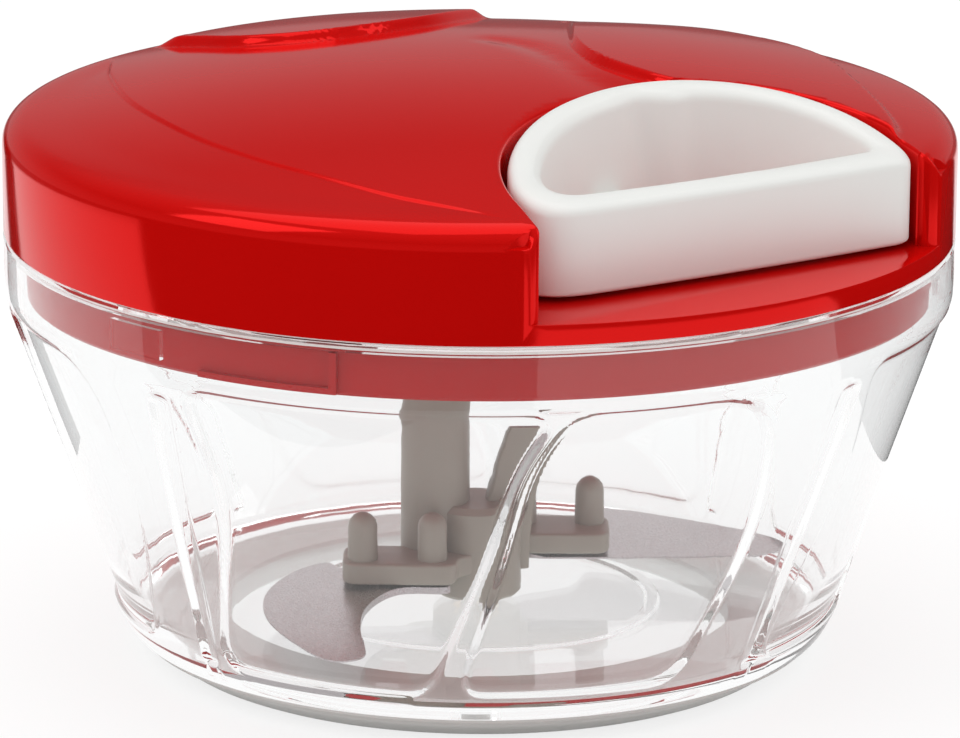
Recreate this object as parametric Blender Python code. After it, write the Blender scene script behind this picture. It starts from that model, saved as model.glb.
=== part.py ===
"""Hand-pulled food chopper: a clear bowl with a rotor of two blades, under a lid with a pull handle,
a cord, a reel and a recoil spring.

Metres, +Z up. The origin is the centre of the foot ring's underside, and the handle pulls out
towards -Y. The whole part turns about the Z axis, which the bowl, the rotor, the reel and the lid share.
"""

import math

import bmesh
import bpy
from mathutils import Matrix, Vector

mm = 0.001
degree = math.pi / 180

# Fits and overruns
running_gap = 0.3 * mm
easy_gap = 0.6 * mm
cut_overrun = 3 * mm

# Bowl, which stands on the foot ring
bowl_radius = 66.5 * mm
bowl_wall = 2.0 * mm
bowl_floor_height = 4.0 * mm
bowl_floor_wall = 2.0 * mm
bowl_height = 56.2 * mm
bowl_lip_wall = 1.1 * mm
seal_seat_depth = 1.3 * mm
neck_height = 9.2 * mm
neck_inset = 0.3 * mm
bowl_taper = 14.8 * mm
knee_height = 3.1 * mm
knee_inset = 1.8 * mm
bowl_edge_height = 0.9 * mm
bowl_side_steps = 4
bowl_sides = 60
bowl_rim_height = bowl_floor_height + bowl_height
bowl_neck_height = bowl_rim_height - neck_height
bowl_neck_radius = bowl_radius - neck_inset
bowl_knee_height = bowl_floor_height + knee_height
bowl_knee_radius = bowl_neck_radius - bowl_taper
bowl_foot_radius = bowl_knee_radius - knee_inset
bowl_foot_height = bowl_floor_height + bowl_edge_height
bowl_inner_radius = bowl_radius - bowl_wall
bowl_floor_top = bowl_floor_height + bowl_floor_wall

# Locking pips on the bowl's inner wall
pip_count = 3
pip_length = 9.7 * mm
pip_height = 4.0 * mm
pip_rise = 0.7 * mm
pip_drop = 4.2 * mm
first_pip_angle = -171.2 * degree
pip_mid_height = bowl_rim_height - pip_drop

# Foot ring
foot_inset = 0.7 * mm
foot_flare = 4.5 * mm
foot_width = 8.4 * mm
foot_sides = 60
foot_top_radius = bowl_foot_radius - foot_inset
foot_base_radius = foot_top_radius - foot_flare
foot_inner_radius = foot_base_radius - foot_width

# Centre pin
pin_radius = 2.0 * mm
pin_seat_depth = 1.0 * mm
pin_sides = 12

# Rotor: hub, two arms with studs, an upright drive post beside the axis and a leaning paddle
rotor_yaw = -33.0 * degree
rotor_sides = 24
hub_radius = 6.2 * mm
hub_floor_gap = 1.0 * mm
hub_height = 13.5 * mm
hub_bore_depth = 12.2 * mm
bush_wall = 1.0 * mm
arm_length = 16.0 * mm
arm_width = 9.6 * mm
arm_thickness = 3.0 * mm
arm_lift = 4.0 * mm
arm_corner = 2.5 * mm
arm_offset_along = 10.9 * mm
arm_offset_across = 6.4 * mm
right_arm_lift = 0.8 * mm
web_width = 9.0 * mm
stud_radius = 2.05 * mm
stud_height = 6.8 * mm
outer_stud_along = 16.1 * mm
inner_stud_along = 6.3 * mm
stud_across = 7.9 * mm
post_radius = 4.8 * mm
post_offset = 6.0 * mm
post_end_gap = 0.4 * mm
paddle_thickness = 3.2 * mm
paddle_height = 22.0 * mm
paddle_foot_along = 3.6 * mm
paddle_foot_width = 7.6 * mm
paddle_top_along = 7.4 * mm
paddle_top_width = 6.0 * mm
paddle_turn = 18.0 * degree
paddle_levels = 5
hub_bottom_height = bowl_floor_top + hub_floor_gap
arm_underside_height = hub_bottom_height + arm_lift
arm_top_height = arm_underside_height + arm_thickness

# Blades, whose tips stay this far from the bowl's side
blade_thickness = 1.0 * mm
blade_gap = 0.3 * mm
blade_tip_gap = 4.4 * mm
blade_reach = bowl_knee_radius - bowl_wall - blade_tip_gap

# Outlines as shares of the blade's reach from the axis, along the arms and across them
lower_blade_shares = (
    (-0.090, -0.238),
    (-0.100, -0.160),
    (-0.170, -0.060),
    (-0.415, -0.060),
    (-0.470, 0.060),
    (-0.560, -0.010),
    (-0.620, -0.130),
    (-0.655, -0.260),
    (-0.660, -0.390),
    (-0.640, -0.520),
    (-0.595, -0.670),
    (-0.530, -0.810),
    (-0.465, -0.915),
    (-0.400, -0.945),
    (-0.345, -0.915),
    (-0.332, -0.850),
    (-0.350, -0.700),
    (-0.352, -0.550),
    (-0.335, -0.430),
    (-0.290, -0.310),
    (-0.225, -0.245),
)
upper_blade_shares = (
    (0.115, 0.095),
    (0.640, 0.095),
    (0.860, 0.115),
    (0.985, 0.175),
    (0.940, 0.270),
    (0.830, 0.350),
    (0.700, 0.430),
    (0.560, 0.510),
    (0.440, 0.560),
    (0.360, 0.570),
    (0.300, 0.420),
    (0.115, 0.300),
)

# Cord
cord_radius = 0.9 * mm
cord_line_x = 2.5 * mm
cord_segments = 4
cord_bend = 2.7 * mm

# Lid's outline from above, and its pocket floor, which the handle lies on
lid_radius = bowl_radius
lid_wall = 2.2 * mm
lid_edge_inset = 1.5 * mm
lid_dome_steps = 6
lid_sides = 60
back_petal_rise = 2.4 * mm
right_petal_rise = 1.4 * mm
pocket_ledge = 2.9 * mm
pocket_gap = 1.0 * mm
pocket_wall = 2.0 * mm
pocket_floor_wall = 2.2 * mm
pocket_mouth_flare = 3.6 * mm
lid_skirt_height = bowl_rim_height + running_gap
pocket_floor_height = lid_skirt_height + pocket_ledge

# Petal outlines as shares of the lid's radius
back_petal_shares = (
    (-0.160, 1.150),
    (-0.150, 0.900),
    (-0.190, 0.640),
    (-0.160, 0.540),
    (-0.070, 0.460),
    (0.060, 0.380),
    (0.160, 0.390),
    (0.260, 0.460),
    (0.480, 0.640),
    (0.660, 0.800),
    (0.800, 1.150),
)
right_petal_shares = (
    (0.800, 0.900),
    (0.600, 0.620),
    (0.560, 0.500),
    (0.420, 0.290),
    (0.310, 0.110),
    (0.250, -0.060),
    (0.250, -0.200),
    (0.300, -0.340),
    (0.500, -0.700),
    (0.590, -0.660),
    (0.666, -0.520),
    (0.764, -0.280),
    (0.850, -0.060),
    (0.875, 0.150),
    (0.930, 0.420),
    (1.150, 0.620),
)

# Reel with the wound cord
reel_drum_radius = 10.6 * mm
winding_rise = 1.4 * mm
reel_flange_width = 6.4 * mm
reel_flange = 1.2 * mm
reel_width = 9.6 * mm
reel_arbor_radius = 4.6 * mm
reel_sides = 32
winding_radius = reel_drum_radius + winding_rise
reel_flange_radius = reel_drum_radius + reel_flange_width

# Recoil spring and its housing
spring_turns = 5
spring_strip = 0.6 * mm
spring_height = 4.6 * mm
spring_points_per_turn = 20
housing_wall = 1.2 * mm
housing_overhang = 1.6 * mm
housing_head_room = 1.6 * mm
housing_radius = reel_flange_radius + housing_overhang
reel_arbor_height = spring_height + housing_head_room

# Pull handle, whose back stays clear of the spring housing
handle_mid_x = 6.0 * mm
handle_setback = 15.5 * mm
handle_half_width = 31.0 * mm
handle_fullness = 0.85
handle_front_bulge = 2.0 * mm
handle_height = 12.3 * mm
handle_rise = 7.4 * mm
handle_wall = 4.6 * mm
handle_left_corner = 6.0 * mm
handle_right_corner = 3.0 * mm
handle_edge_round = 1.0 * mm
handle_arc_steps = 18
handle_housing_gap = 2.4 * mm
cord_rise = 3.0 * mm
handle_front_y = handle_setback - lid_radius
handle_back_space = pocket_gap + pocket_wall + handle_housing_gap
handle_depth = -handle_front_y - handle_back_space - housing_radius
handle_bottom_height = pocket_floor_height + easy_gap
handle_front_height = handle_bottom_height + handle_height
handle_back_height = handle_front_height + handle_rise
cord_height = handle_bottom_height + cord_rise

# Cord guide in the pocket's back wall, and the ferrule on the cord's end
guide_flange_width = 1.1 * mm
guide_flange = 0.8 * mm
guide_wall = 1.0 * mm
guide_bore_radius = cord_radius + easy_gap
guide_barrel_radius = guide_bore_radius + guide_wall
guide_flange_radius = guide_barrel_radius + guide_flange_width
anchor_wall = 1.5 * mm
anchor_length = 3.2 * mm
anchor_radius = cord_radius + anchor_wall

# Heights of the reel and the spring housing, set by the cord's height
cord_above_reel_base = 5.5 * mm
housing_floor_gap = 0.9 * mm
reel_bottom_height = cord_height - cord_above_reel_base
reel_top_height = reel_bottom_height + reel_width
housing_bottom_height = reel_top_height + housing_floor_gap
housing_top_height = housing_bottom_height + spring_height + housing_head_room + housing_wall

# Drive cup under the reel, which the drive post reaches into
cup_wall = 1.2 * mm
cup_depth = 3.6 * mm
cup_roof = 4.2 * mm
drive_rib_width = 3.0 * mm
drive_rib_lag = 76.5 * degree
screw_pocket_radius = 3.9 * mm
screw_pocket_depth = 3.0 * mm
cup_inner_radius = post_offset + post_radius + easy_gap
cup_radius = cup_inner_radius + cup_wall
cup_top_height = reel_bottom_height - running_gap
cup_ceiling_height = cup_top_height - cup_roof
cup_bottom_height = cup_ceiling_height - cup_depth
post_top_height = cup_ceiling_height - post_end_gap

# Reel post, washer and retaining screw
post_pin_radius = 2.6 * mm
thread_radius = 1.3 * mm
washer_radius = 3.6 * mm
washer_thickness = 0.5 * mm
screw_head_radius = 2.9 * mm
screw_head_height = 1.5 * mm
screw_length = 8.0 * mm
post_pin_bottom_height = cup_ceiling_height + screw_pocket_depth + easy_gap

# Lid's heights, which clear the spring housing
lid_head_room = 1.3 * mm
lid_crown_rise = 6.8 * mm
lid_crown_height = housing_top_height + lid_head_room + lid_wall
lid_edge_height = lid_crown_height - lid_crown_rise
lid_shoulder_height = lid_edge_height - lid_edge_inset

# Lid base: the plug inside the bowl's rim
plug_side_gap = 1.2 * mm
plug_wall = 2.0 * mm
plug_depth = 8.0 * mm
plug_flange = 0.7 * mm
plug_flange_thickness = 1.0 * mm
plate_recess = 5.0 * mm
plate_thickness = 2.0 * mm
plate_hole_gap = 0.8 * mm
lug_rise = 0.8 * mm
lug_width = 1.0 * mm
lug_lead = 10.94 * mm
lug_length = 19.9 * mm
lug_height = 5.9 * mm
lug_arc_steps = 4
plug_radius = bowl_inner_radius - plug_side_gap
plug_bottom_height = lid_skirt_height - plug_depth
plate_bottom_height = plug_bottom_height + plate_recess
plate_top_height = plate_bottom_height + plate_thickness
plate_hole_radius = cup_radius + plate_hole_gap

# Lid screws
lid_screw_inset = 15.3 * mm
lid_screw_angles = (45 * degree, 135 * degree, 215 * degree, 332 * degree)
lid_boss_wall = 2.0 * mm
lid_screw_radius = 1.3 * mm
lid_screw_head_radius = 2.8 * mm
lid_screw_head_height = 1.4 * mm
lid_screw_length = 9.0 * mm
lid_screw_ring_radius = plug_radius - lid_screw_inset
lid_screw_hole_radius = lid_screw_radius + running_gap
lid_boss_radius = lid_screw_hole_radius + lid_boss_wall

# Seal ring
seal_side_gap = 0.1 * mm


def clear_scene():
    for item in list(bpy.data.objects):
        bpy.data.objects.remove(item, do_unlink=True)


def finish_of(name, colour, roughness, metallic=0.0, alpha=1.0):
    made = bpy.data.materials.new(name)
    made.use_nodes = True
    shader = made.node_tree.nodes["Principled BSDF"]
    shader.inputs["Base Color"].default_value = (*colour, 1.0)
    shader.inputs["Roughness"].default_value = roughness
    shader.inputs["Metallic"].default_value = metallic
    shader.inputs["Alpha"].default_value = alpha
    made.diffuse_color = (*colour, alpha)
    return made


def piece(name, shape, finish=None, yaw=0.0):
    """An object of this shape with its origin on the Z axis, turned by yaw about it."""
    bmesh.ops.recalc_face_normals(shape, faces=shape.faces)
    mesh = bpy.data.meshes.new(name)
    shape.to_mesh(mesh)
    shape.free()
    made = bpy.data.objects.new(name, mesh)
    made.rotation_euler = (0.0, 0.0, yaw)
    bpy.context.collection.objects.link(made)
    if finish:
        mesh.materials.append(finish)
    mesh.shade_smooth()
    mesh.set_sharp_from_angle(angle=30 * degree)
    return made


def helper(name, shape, yaw=0.0):
    made = piece(name, shape, yaw=yaw)
    made.hide_render = True
    made.display_type = "WIRE"
    return made


def boolean(target, other, operation):
    step = target.modifiers.new(other.name, "BOOLEAN")
    step.operation = operation
    step.object = other
    step.solver = "EXACT"


def rounded(target, width, segments):
    step = target.modifiers.new("rounded edges", "BEVEL")
    step.width = width
    step.segments = segments
    step.limit_method = "ANGLE"
    step.angle_limit = 40 * degree


def turned(profile, sides):
    """A closed profile of (radius, height) turned about the Z axis."""
    shape = bmesh.new()
    points = [shape.verts.new((radius, 0.0, height)) for radius, height in profile]
    edges = [shape.edges.new((a, b)) for a, b in zip(points, points[1:] + points[:1]) if a.co.x or b.co.x]
    bmesh.ops.spin(
        shape,
        geom=points + edges,
        cent=(0.0, 0.0, 0.0),
        axis=(0.0, 0.0, 1.0),
        angle=2 * math.pi,
        steps=sides,
        use_merge=True,
    )
    bmesh.ops.remove_doubles(shape, verts=shape.verts, dist=running_gap / 100)
    return shape


def slab(outline, bottom, top):
    """An outline of (x, y) points raised from bottom to top. Either may be a function of a point."""
    shape = bmesh.new()
    low = [shape.verts.new((x, y, bottom(x, y) if callable(bottom) else bottom)) for x, y in outline]
    high = [shape.verts.new((x, y, top(x, y) if callable(top) else top)) for x, y in outline]
    shape.faces.new(low[::-1])
    shape.faces.new(high)
    for index, corner in enumerate(low):
        following = (index + 1) % len(low)
        shape.faces.new((corner, low[following], high[following], high[index]))
    return shape


def rod(radius, bottom, top, sides, at=(0.0, 0.0)):
    shape = turned([(0.0, bottom), (radius, bottom), (radius, top), (0.0, top)], sides)
    bmesh.ops.translate(shape, verts=shape.verts, vec=(at[0], at[1], 0.0))
    return shape


def ring(inner, outer, bottom, top, sides):
    return turned([(inner, bottom), (outer, bottom), (outer, top), (inner, top)], sides)


def turn_point(x, y, angle):
    return (
        x * math.cos(angle) - y * math.sin(angle),
        x * math.sin(angle) + y * math.cos(angle),
    )


def arc_band(inner, outer, start, stop, bottom, top, steps):
    """A stretch of ring between two angles."""
    angles = [start + (stop - start) * index / steps for index in range(steps + 1)]
    outline = [(outer * math.cos(angle), outer * math.sin(angle)) for angle in angles]
    outline += [(inner * math.cos(angle), inner * math.sin(angle)) for angle in reversed(angles)]
    return slab(outline, bottom, top)


def bowl_side(share):
    """The bowl's outer wall from knee (0) to neck (1)."""
    return (
        bowl_knee_radius + (bowl_neck_radius - bowl_knee_radius) * share,
        bowl_knee_height + (bowl_neck_height - bowl_knee_height) * share,
    )


def make_bowl(clear):
    outer = [bowl_side(index / bowl_side_steps) for index in range(bowl_side_steps + 1)]
    inner = [(radius - bowl_wall, height) for radius, height in reversed(outer)]
    seat_height = bowl_rim_height - seal_seat_depth
    profile = [(0.0, bowl_floor_height), (bowl_foot_radius, bowl_floor_height)]
    profile += [(bowl_foot_radius + bowl_wall / 3, bowl_foot_height)]
    profile += outer
    profile += [(bowl_radius, bowl_neck_height + bowl_wall * 2), (bowl_radius, bowl_rim_height)]
    profile += [(bowl_radius - bowl_lip_wall, bowl_rim_height), (bowl_radius - bowl_lip_wall, seat_height)]
    profile += [(bowl_inner_radius, seat_height), (bowl_inner_radius, bowl_neck_height + bowl_wall)]
    profile += inner
    profile += [(bowl_foot_radius - bowl_wall * 2, bowl_floor_top), (0.0, bowl_floor_top)]
    bowl = piece("bowl", turned(profile, bowl_sides), clear)
    seat = helper(
        "pin_seat_cutter",
        rod(pin_radius + running_gap, bowl_floor_top - pin_seat_depth, bowl_floor_top + cut_overrun, pin_sides),
    )
    boolean(bowl, seat, "DIFFERENCE")
    for index in range(pip_count):
        angle = first_pip_angle + index * 2 * math.pi / pip_count
        half_span = pip_length / bowl_radius / 2
        pip = arc_band(
            bowl_inner_radius - pip_rise,
            bowl_inner_radius + bowl_wall / 2,
            angle - half_span,
            angle + half_span,
            pip_mid_height - pip_height / 2,
            pip_mid_height + pip_height / 2,
            lug_arc_steps,
        )
        boolean(bowl, helper(f"pip_{index + 1}_shape", pip), "UNION")


def make_foot_ring(rubber):
    top = bowl_floor_height - running_gap
    profile = [(foot_inner_radius, 0.0), (foot_base_radius, 0.0), (foot_top_radius, top), (foot_inner_radius, top)]
    piece("foot_ring", turned(profile, foot_sides), rubber)


def make_centre_pin(steel):
    seat = bowl_floor_top - pin_seat_depth + running_gap
    chamfer = pin_radius / 4
    top = bush_roof_height() - running_gap
    profile = [(0.0, seat), (pin_radius, seat), (pin_radius, top - chamfer)]
    profile += [(pin_radius - chamfer, top), (0.0, top)]
    piece("centre_pin", turned(profile, pin_sides), steel)


def arm_outline():
    """The plate that carries the left blade, from its outer end to the hub, with a web back to the axis."""
    left = -arm_offset_along - arm_length / 2
    right = -arm_offset_along + arm_length / 2
    front = -arm_offset_across - arm_width / 2
    back = -arm_offset_across + arm_width / 2
    corner = arm_corner
    return [
        (left + corner, front),
        (right - corner, front),
        (right, front + corner),
        (web_width / 2, front + corner),
        (web_width / 2, -front - corner),
        (right, back + corner),
        (left + corner, back),
        (left, back - corner),
        (left, front + corner),
    ]


def stud(along, across, lift):
    bottom = arm_underside_height + arm_thickness / 2 + lift
    top = arm_top_height + stud_height + lift
    dome = stud_radius / 2
    profile = [(0.0, bottom), (stud_radius, bottom), (stud_radius, top - dome * 1.4)]
    profile += [(stud_radius * 0.8, top - dome * 0.5), (dome, top - dome * 0.1), (0.0, top)]
    shape = turned(profile, rotor_sides // 2)
    bmesh.ops.translate(shape, verts=shape.verts, vec=(along, across, 0.0))
    return shape


def paddle():
    """The upright wing in front of the post: its foot on the hub, its top leaning outward."""
    rows = []
    shape = bmesh.new()
    bottom = hub_bottom_height + arm_thickness
    for level in range(paddle_levels + 1):
        share = level / paddle_levels
        height = bottom + paddle_height * share
        middle = paddle_foot_along + (paddle_top_along - paddle_foot_along) * share ** 1.6
        half_width = (paddle_foot_width + (paddle_top_width - paddle_foot_width) * share) / 2
        half = paddle_thickness / 2
        corners = [
            (middle - half_width, -half),
            (middle + half_width, -half),
            (middle + half_width, half),
            (middle - half_width, half),
        ]
        turned_corners = [turn_point(x, y, paddle_turn * (1 - share)) for x, y in corners]
        rows.append([shape.verts.new((x, y, height)) for x, y in turned_corners])
    shape.faces.new(rows[0][::-1])
    shape.faces.new(rows[-1])
    for low, high in zip(rows, rows[1:]):
        for index, corner in enumerate(low):
            following = (index + 1) % len(low)
            shape.faces.new((corner, low[following], high[following], high[index]))
    return shape


def make_carrier(plastic):
    carrier = piece(
        "blade_carrier",
        rod(hub_radius, hub_bottom_height, hub_bottom_height + hub_height, rotor_sides),
        plastic,
        rotor_yaw,
    )
    left_arm = slab(arm_outline(), arm_underside_height, arm_top_height)
    boolean(carrier, helper("left_arm_shape", left_arm, rotor_yaw), "UNION")
    opposite = [(-x, -y) for x, y in arm_outline()]
    right_arm = slab(opposite, arm_underside_height + right_arm_lift, arm_top_height + right_arm_lift)
    boolean(carrier, helper("right_arm_shape", right_arm, rotor_yaw), "UNION")
    for name, along in (("outer", outer_stud_along), ("inner", inner_stud_along)):
        left_stud = stud(-along, -stud_across, 0.0)
        boolean(carrier, helper(f"left_{name}_stud_shape", left_stud, rotor_yaw), "UNION")
        right_stud = stud(along, stud_across, right_arm_lift)
        boolean(carrier, helper(f"right_{name}_stud_shape", right_stud, rotor_yaw), "UNION")
    post = rod(post_radius, arm_underside_height + running_gap, post_top_height, rotor_sides, (-post_offset, 0.0))
    boolean(carrier, helper("drive_post_shape", post, rotor_yaw), "UNION")
    boolean(carrier, helper("paddle_shape", paddle(), rotor_yaw), "UNION")
    bore = rod(
        pin_radius + bush_wall + 2 * running_gap,
        hub_bottom_height - cut_overrun,
        hub_bottom_height + hub_bore_depth - running_gap,
        rotor_sides,
    )
    boolean(carrier, helper("hub_bore_cutter", bore, rotor_yaw), "DIFFERENCE")


def bush_roof_height():
    """The underside of the bush's closed end, which turns on the pin's tip."""
    return hub_bottom_height + hub_bore_depth - 2 * running_gap - bush_wall


def make_hub_bush(brass):
    bottom = hub_bottom_height + running_gap
    inner = pin_radius + running_gap
    roof = bush_roof_height()
    top = roof + bush_wall
    profile = [(inner, bottom), (inner + bush_wall, bottom), (inner + bush_wall, top), (0.0, top)]
    profile += [(0.0, roof), (inner, roof)]
    piece("hub_bush", turned(profile, pin_sides), brass)


def make_blade(name, shares, lift, steel):
    outline = [(x * blade_reach, y * blade_reach) for x, y in shares]
    top = arm_underside_height + lift - blade_gap
    piece(name, slab(outline, top - blade_thickness, top), steel, rotor_yaw)


def dome_height(radius):
    share = radius / (lid_radius - lid_edge_inset)
    return lid_crown_height - (lid_crown_height - lid_edge_height) * share * share


def dome_profile(radius, lift, bottom):
    """A solid dome of this radius: the lid's outer surface, lifted, down to bottom."""
    inset = lid_edge_inset
    edge = radius - inset
    profile = [(0.0, bottom), (radius, bottom), (radius, dome_height(edge) + lift - inset)]
    for index in range(lid_dome_steps):
        at = edge * (1 - index / lid_dome_steps)
        profile.append((at, dome_height(at) + lift))
    profile.append((0.0, lid_crown_height + lift))
    return profile


def shell_profile():
    outside = dome_profile(lid_radius, 0.0, lid_skirt_height)[1:]
    inner_radius = lid_radius - lid_wall
    inside = [(0.0, lid_crown_height - lid_wall)]
    for index in range(lid_dome_steps - 1, -1, -1):
        at = (inner_radius - lid_edge_inset) * (1 - index / lid_dome_steps)
        inside.append((at, dome_height(at) - lid_wall))
    inside.append((inner_radius, dome_height(inner_radius) - lid_wall - lid_edge_inset))
    inside.append((inner_radius, lid_skirt_height))
    return outside + inside


def handle_back(grow, inset=0.0):
    """The handle's full, rounded back and sides, grown by this much, from right to left, inset from the front."""
    points = []
    start = math.asin((inset / (handle_depth + grow)) ** (1 / handle_fullness))
    for index in range(handle_arc_steps + 1):
        angle = start + (math.pi - 2 * start) * index / handle_arc_steps
        across = math.copysign(abs(math.cos(angle)) ** handle_fullness, math.cos(angle))
        x = handle_mid_x + (handle_half_width + grow) * across
        y = handle_front_y + (handle_depth + grow) * abs(math.sin(angle)) ** handle_fullness
        points.append((x, y))
    return points


def pocket_outline(grow, front):
    back = handle_back(pocket_gap + grow)
    right_mouth = (back[0][0] + grow / 2, front)
    left_mouth = (back[-1][0] - pocket_mouth_flare - grow / 2, front)
    return [right_mouth] + back + [left_mouth]


def petal_skin_profile(rise):
    """A skin of the lid's dome lifted by rise, whose underside lies inside the cover's wall."""
    edge = lid_radius - 2 * lid_edge_inset
    steps = range(lid_dome_steps + 1)
    radii = [edge * index / lid_dome_steps for index in steps]
    under = [(radius, dome_height(radius) - lid_wall / 2) for radius in radii]
    over = [(radius, dome_height(radius) + rise) for radius in reversed(radii)]
    return under + over


def petal(shares, rise, name):
    shape = slab([(x * lid_radius, y * lid_radius) for x, y in shares], lid_skirt_height, lid_crown_height * 2)
    made = helper(f"{name}_shape", shape)
    boolean(made, helper(f"{name}_skin", turned(petal_skin_profile(rise), lid_sides)), "INTERSECT")
    return made


def lid_screw_places():
    return [
        (lid_screw_ring_radius * math.cos(angle), lid_screw_ring_radius * math.sin(angle)) for angle in lid_screw_angles
    ]


def make_lid_cover(red):
    cover = piece("lid_cover", turned(shell_profile(), lid_sides), red)
    boolean(cover, petal(back_petal_shares, back_petal_rise, "back_petal"), "UNION")
    boolean(cover, petal(right_petal_shares, right_petal_rise, "right_petal"), "UNION")
    front = -lid_radius - cut_overrun
    floor_bottom = pocket_floor_height - pocket_floor_wall
    outer = slab(pocket_outline(pocket_wall, front), floor_bottom, lid_crown_height + lid_wall)
    tray = helper("pocket_tray_shape", outer)
    solid_dome = turned(dome_profile(lid_radius, -lid_wall / 4, lid_skirt_height), lid_sides)
    boolean(tray, helper("pocket_tray_dome", solid_dome), "INTERSECT")
    boolean(cover, tray, "UNION")
    for index, (x, y) in enumerate(lid_screw_places()):
        bottom = plate_top_height + running_gap
        top = dome_height(lid_screw_ring_radius) - lid_wall / 2
        boss = rod(lid_boss_radius, bottom, top, rotor_sides // 2, (x, y))
        boolean(cover, helper(f"lid_boss_{index + 1}_shape", boss), "UNION")
    hollow = slab(pocket_outline(0.0, front - cut_overrun), pocket_floor_height, lid_crown_height * 2)
    boolean(cover, helper("pocket_cutter", hollow), "DIFFERENCE")
    for index, (x, y) in enumerate(lid_screw_places()):
        top = plate_bottom_height + lid_screw_length + easy_gap
        hole = rod(lid_screw_hole_radius, plate_bottom_height, top, rotor_sides // 2, (x, y))
        boolean(cover, helper(f"lid_boss_hole_{index + 1}_cutter", hole), "DIFFERENCE")
    boolean(cover, helper("guide_hole_cutter", guide_solid(guide_barrel_radius + running_gap, cut_overrun)), "DIFFERENCE")


def guide_wall_y():
    """Where the pocket's back wall has its pocket face on the cord's line."""
    across = abs(cord_line_x - handle_mid_x) / (handle_half_width + pocket_gap)
    back = (1 - across ** (2 / handle_fullness)) ** (handle_fullness / 2)
    return handle_front_y + (handle_depth + pocket_gap) * back


def along_y(shape, x, height):
    """Lays a shape turned about Z along +Y, through this x and height."""
    bmesh.ops.rotate(shape, verts=shape.verts, cent=(0.0, 0.0, 0.0), matrix=Matrix.Rotation(-90 * degree, 3, "X"))
    bmesh.ops.translate(shape, verts=shape.verts, vec=(x, 0.0, height))
    return shape


def guide_solid(radius, overrun):
    start = guide_wall_y() - overrun
    stop = guide_wall_y() + pocket_wall + overrun
    return along_y(rod(radius, start, stop, rotor_sides // 2), cord_line_x, cord_height)


def make_cord_guide(steel):
    """A flanged eyelet in the pocket's back wall, with its flange on the mechanism's side."""
    start = guide_wall_y() + running_gap
    wall_end = guide_wall_y() + pocket_wall + running_gap * 2
    profile = [
        (guide_bore_radius, start),
        (guide_barrel_radius, start),
        (guide_barrel_radius, wall_end),
        (guide_flange_radius, wall_end),
        (guide_flange_radius, wall_end + guide_flange),
        (guide_bore_radius, wall_end + guide_flange),
    ]
    piece("cord_guide", along_y(turned(profile, rotor_sides // 2), cord_line_x, cord_height), steel)


def handle_top(x, y):
    share = (y - handle_front_y) / handle_depth
    return handle_front_height + (handle_back_height - handle_front_height) * max(share, 0.0)


def handle_front(left_x, right_x, inset):
    """The slightly bulged front edge, from left to right, without its ends."""
    points = []
    steps = handle_arc_steps // 3
    for index in range(1, steps):
        share = 2 * index / steps - 1
        x = (left_x + right_x) / 2 + (right_x - left_x) / 2 * share
        y = handle_front_y + inset - handle_front_bulge * (1 - share * share)
        points.append((x, y))
    return points


def handle_outline(grow, inset):
    back = handle_back(grow, inset)
    return back + handle_front(back[-1][0], back[0][0], inset)


def soften_corners(shape, outline, left, right):
    """Rounds the two upright edges where the outline's back meets its front."""
    for corner, width in ((outline[handle_arc_steps], left), (outline[0], right)):
        upright = [
            edge
            for edge in shape.edges
            if all(math.dist(corner, point.co.xy) < running_gap / 10 for point in edge.verts)
        ]
        bmesh.ops.bevel(shape, geom=upright, offset=width, segments=4, profile=0.5, affect="EDGES")


def make_handle(white):
    outline = handle_outline(0.0, 0.0)
    solid = slab(outline, handle_bottom_height, handle_top)
    soften_corners(solid, outline, handle_left_corner, handle_right_corner)
    handle = piece("pull_handle", solid, white)
    loop = handle_outline(-handle_wall, handle_wall)
    hole = slab(loop, handle_bottom_height - cut_overrun, handle_back_height + cut_overrun)
    soften_corners(hole, loop, handle_left_corner / 2, handle_right_corner / 2)
    boolean(handle, helper("finger_loop_cutter", hole), "DIFFERENCE")
    rounded(handle, handle_edge_round, 2)
    back_face = guide_wall_y() - pocket_gap
    boss_y = back_face - handle_wall
    boss = rod(
        anchor_radius + handle_wall / 2,
        handle_bottom_height + handle_edge_round,
        handle_front_height - handle_edge_round,
        rotor_sides // 2,
        (cord_line_x, boss_y),
    )
    boolean(handle, helper("anchor_boss_shape", boss), "UNION")
    bore = along_y(rod(guide_bore_radius, boss_y, back_face + cut_overrun, rotor_sides // 2), cord_line_x, cord_height)
    boolean(handle, helper("handle_cord_bore_cutter", bore), "DIFFERENCE")
    mouth = boss_y - anchor_radius - handle_wall
    socket = rod(anchor_radius + running_gap, mouth, boss_y + running_gap, rotor_sides // 2)
    boolean(handle, helper("anchor_socket_cutter", along_y(socket, cord_line_x, cord_height)), "DIFFERENCE")


def anchor_back_y():
    return guide_wall_y() - pocket_gap - handle_wall


def make_cord_anchor(steel):
    """The ferrule crimped on the cord's end, seated in the handle's boss."""
    start = anchor_back_y() - anchor_length
    profile = [(0.0, start), (anchor_radius * 0.8, start), (anchor_radius, start + anchor_radius / 4)]
    profile += [(anchor_radius, anchor_back_y()), (0.0, anchor_back_y())]
    piece("cord_anchor", along_y(turned(profile, rotor_sides // 2), cord_line_x, cord_height), steel)


def cord_tangent():
    """Where the cord leaves its winding towards the guide, on the winding's left side."""
    target = Vector((cord_line_x, guide_wall_y() + pocket_wall + guide_flange + cord_bend))
    reach = winding_radius
    side = math.acos(reach / target.length)
    toward = math.atan2(target.y, target.x)
    return (reach * math.cos(toward - side), reach * math.sin(toward - side)), target


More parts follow.
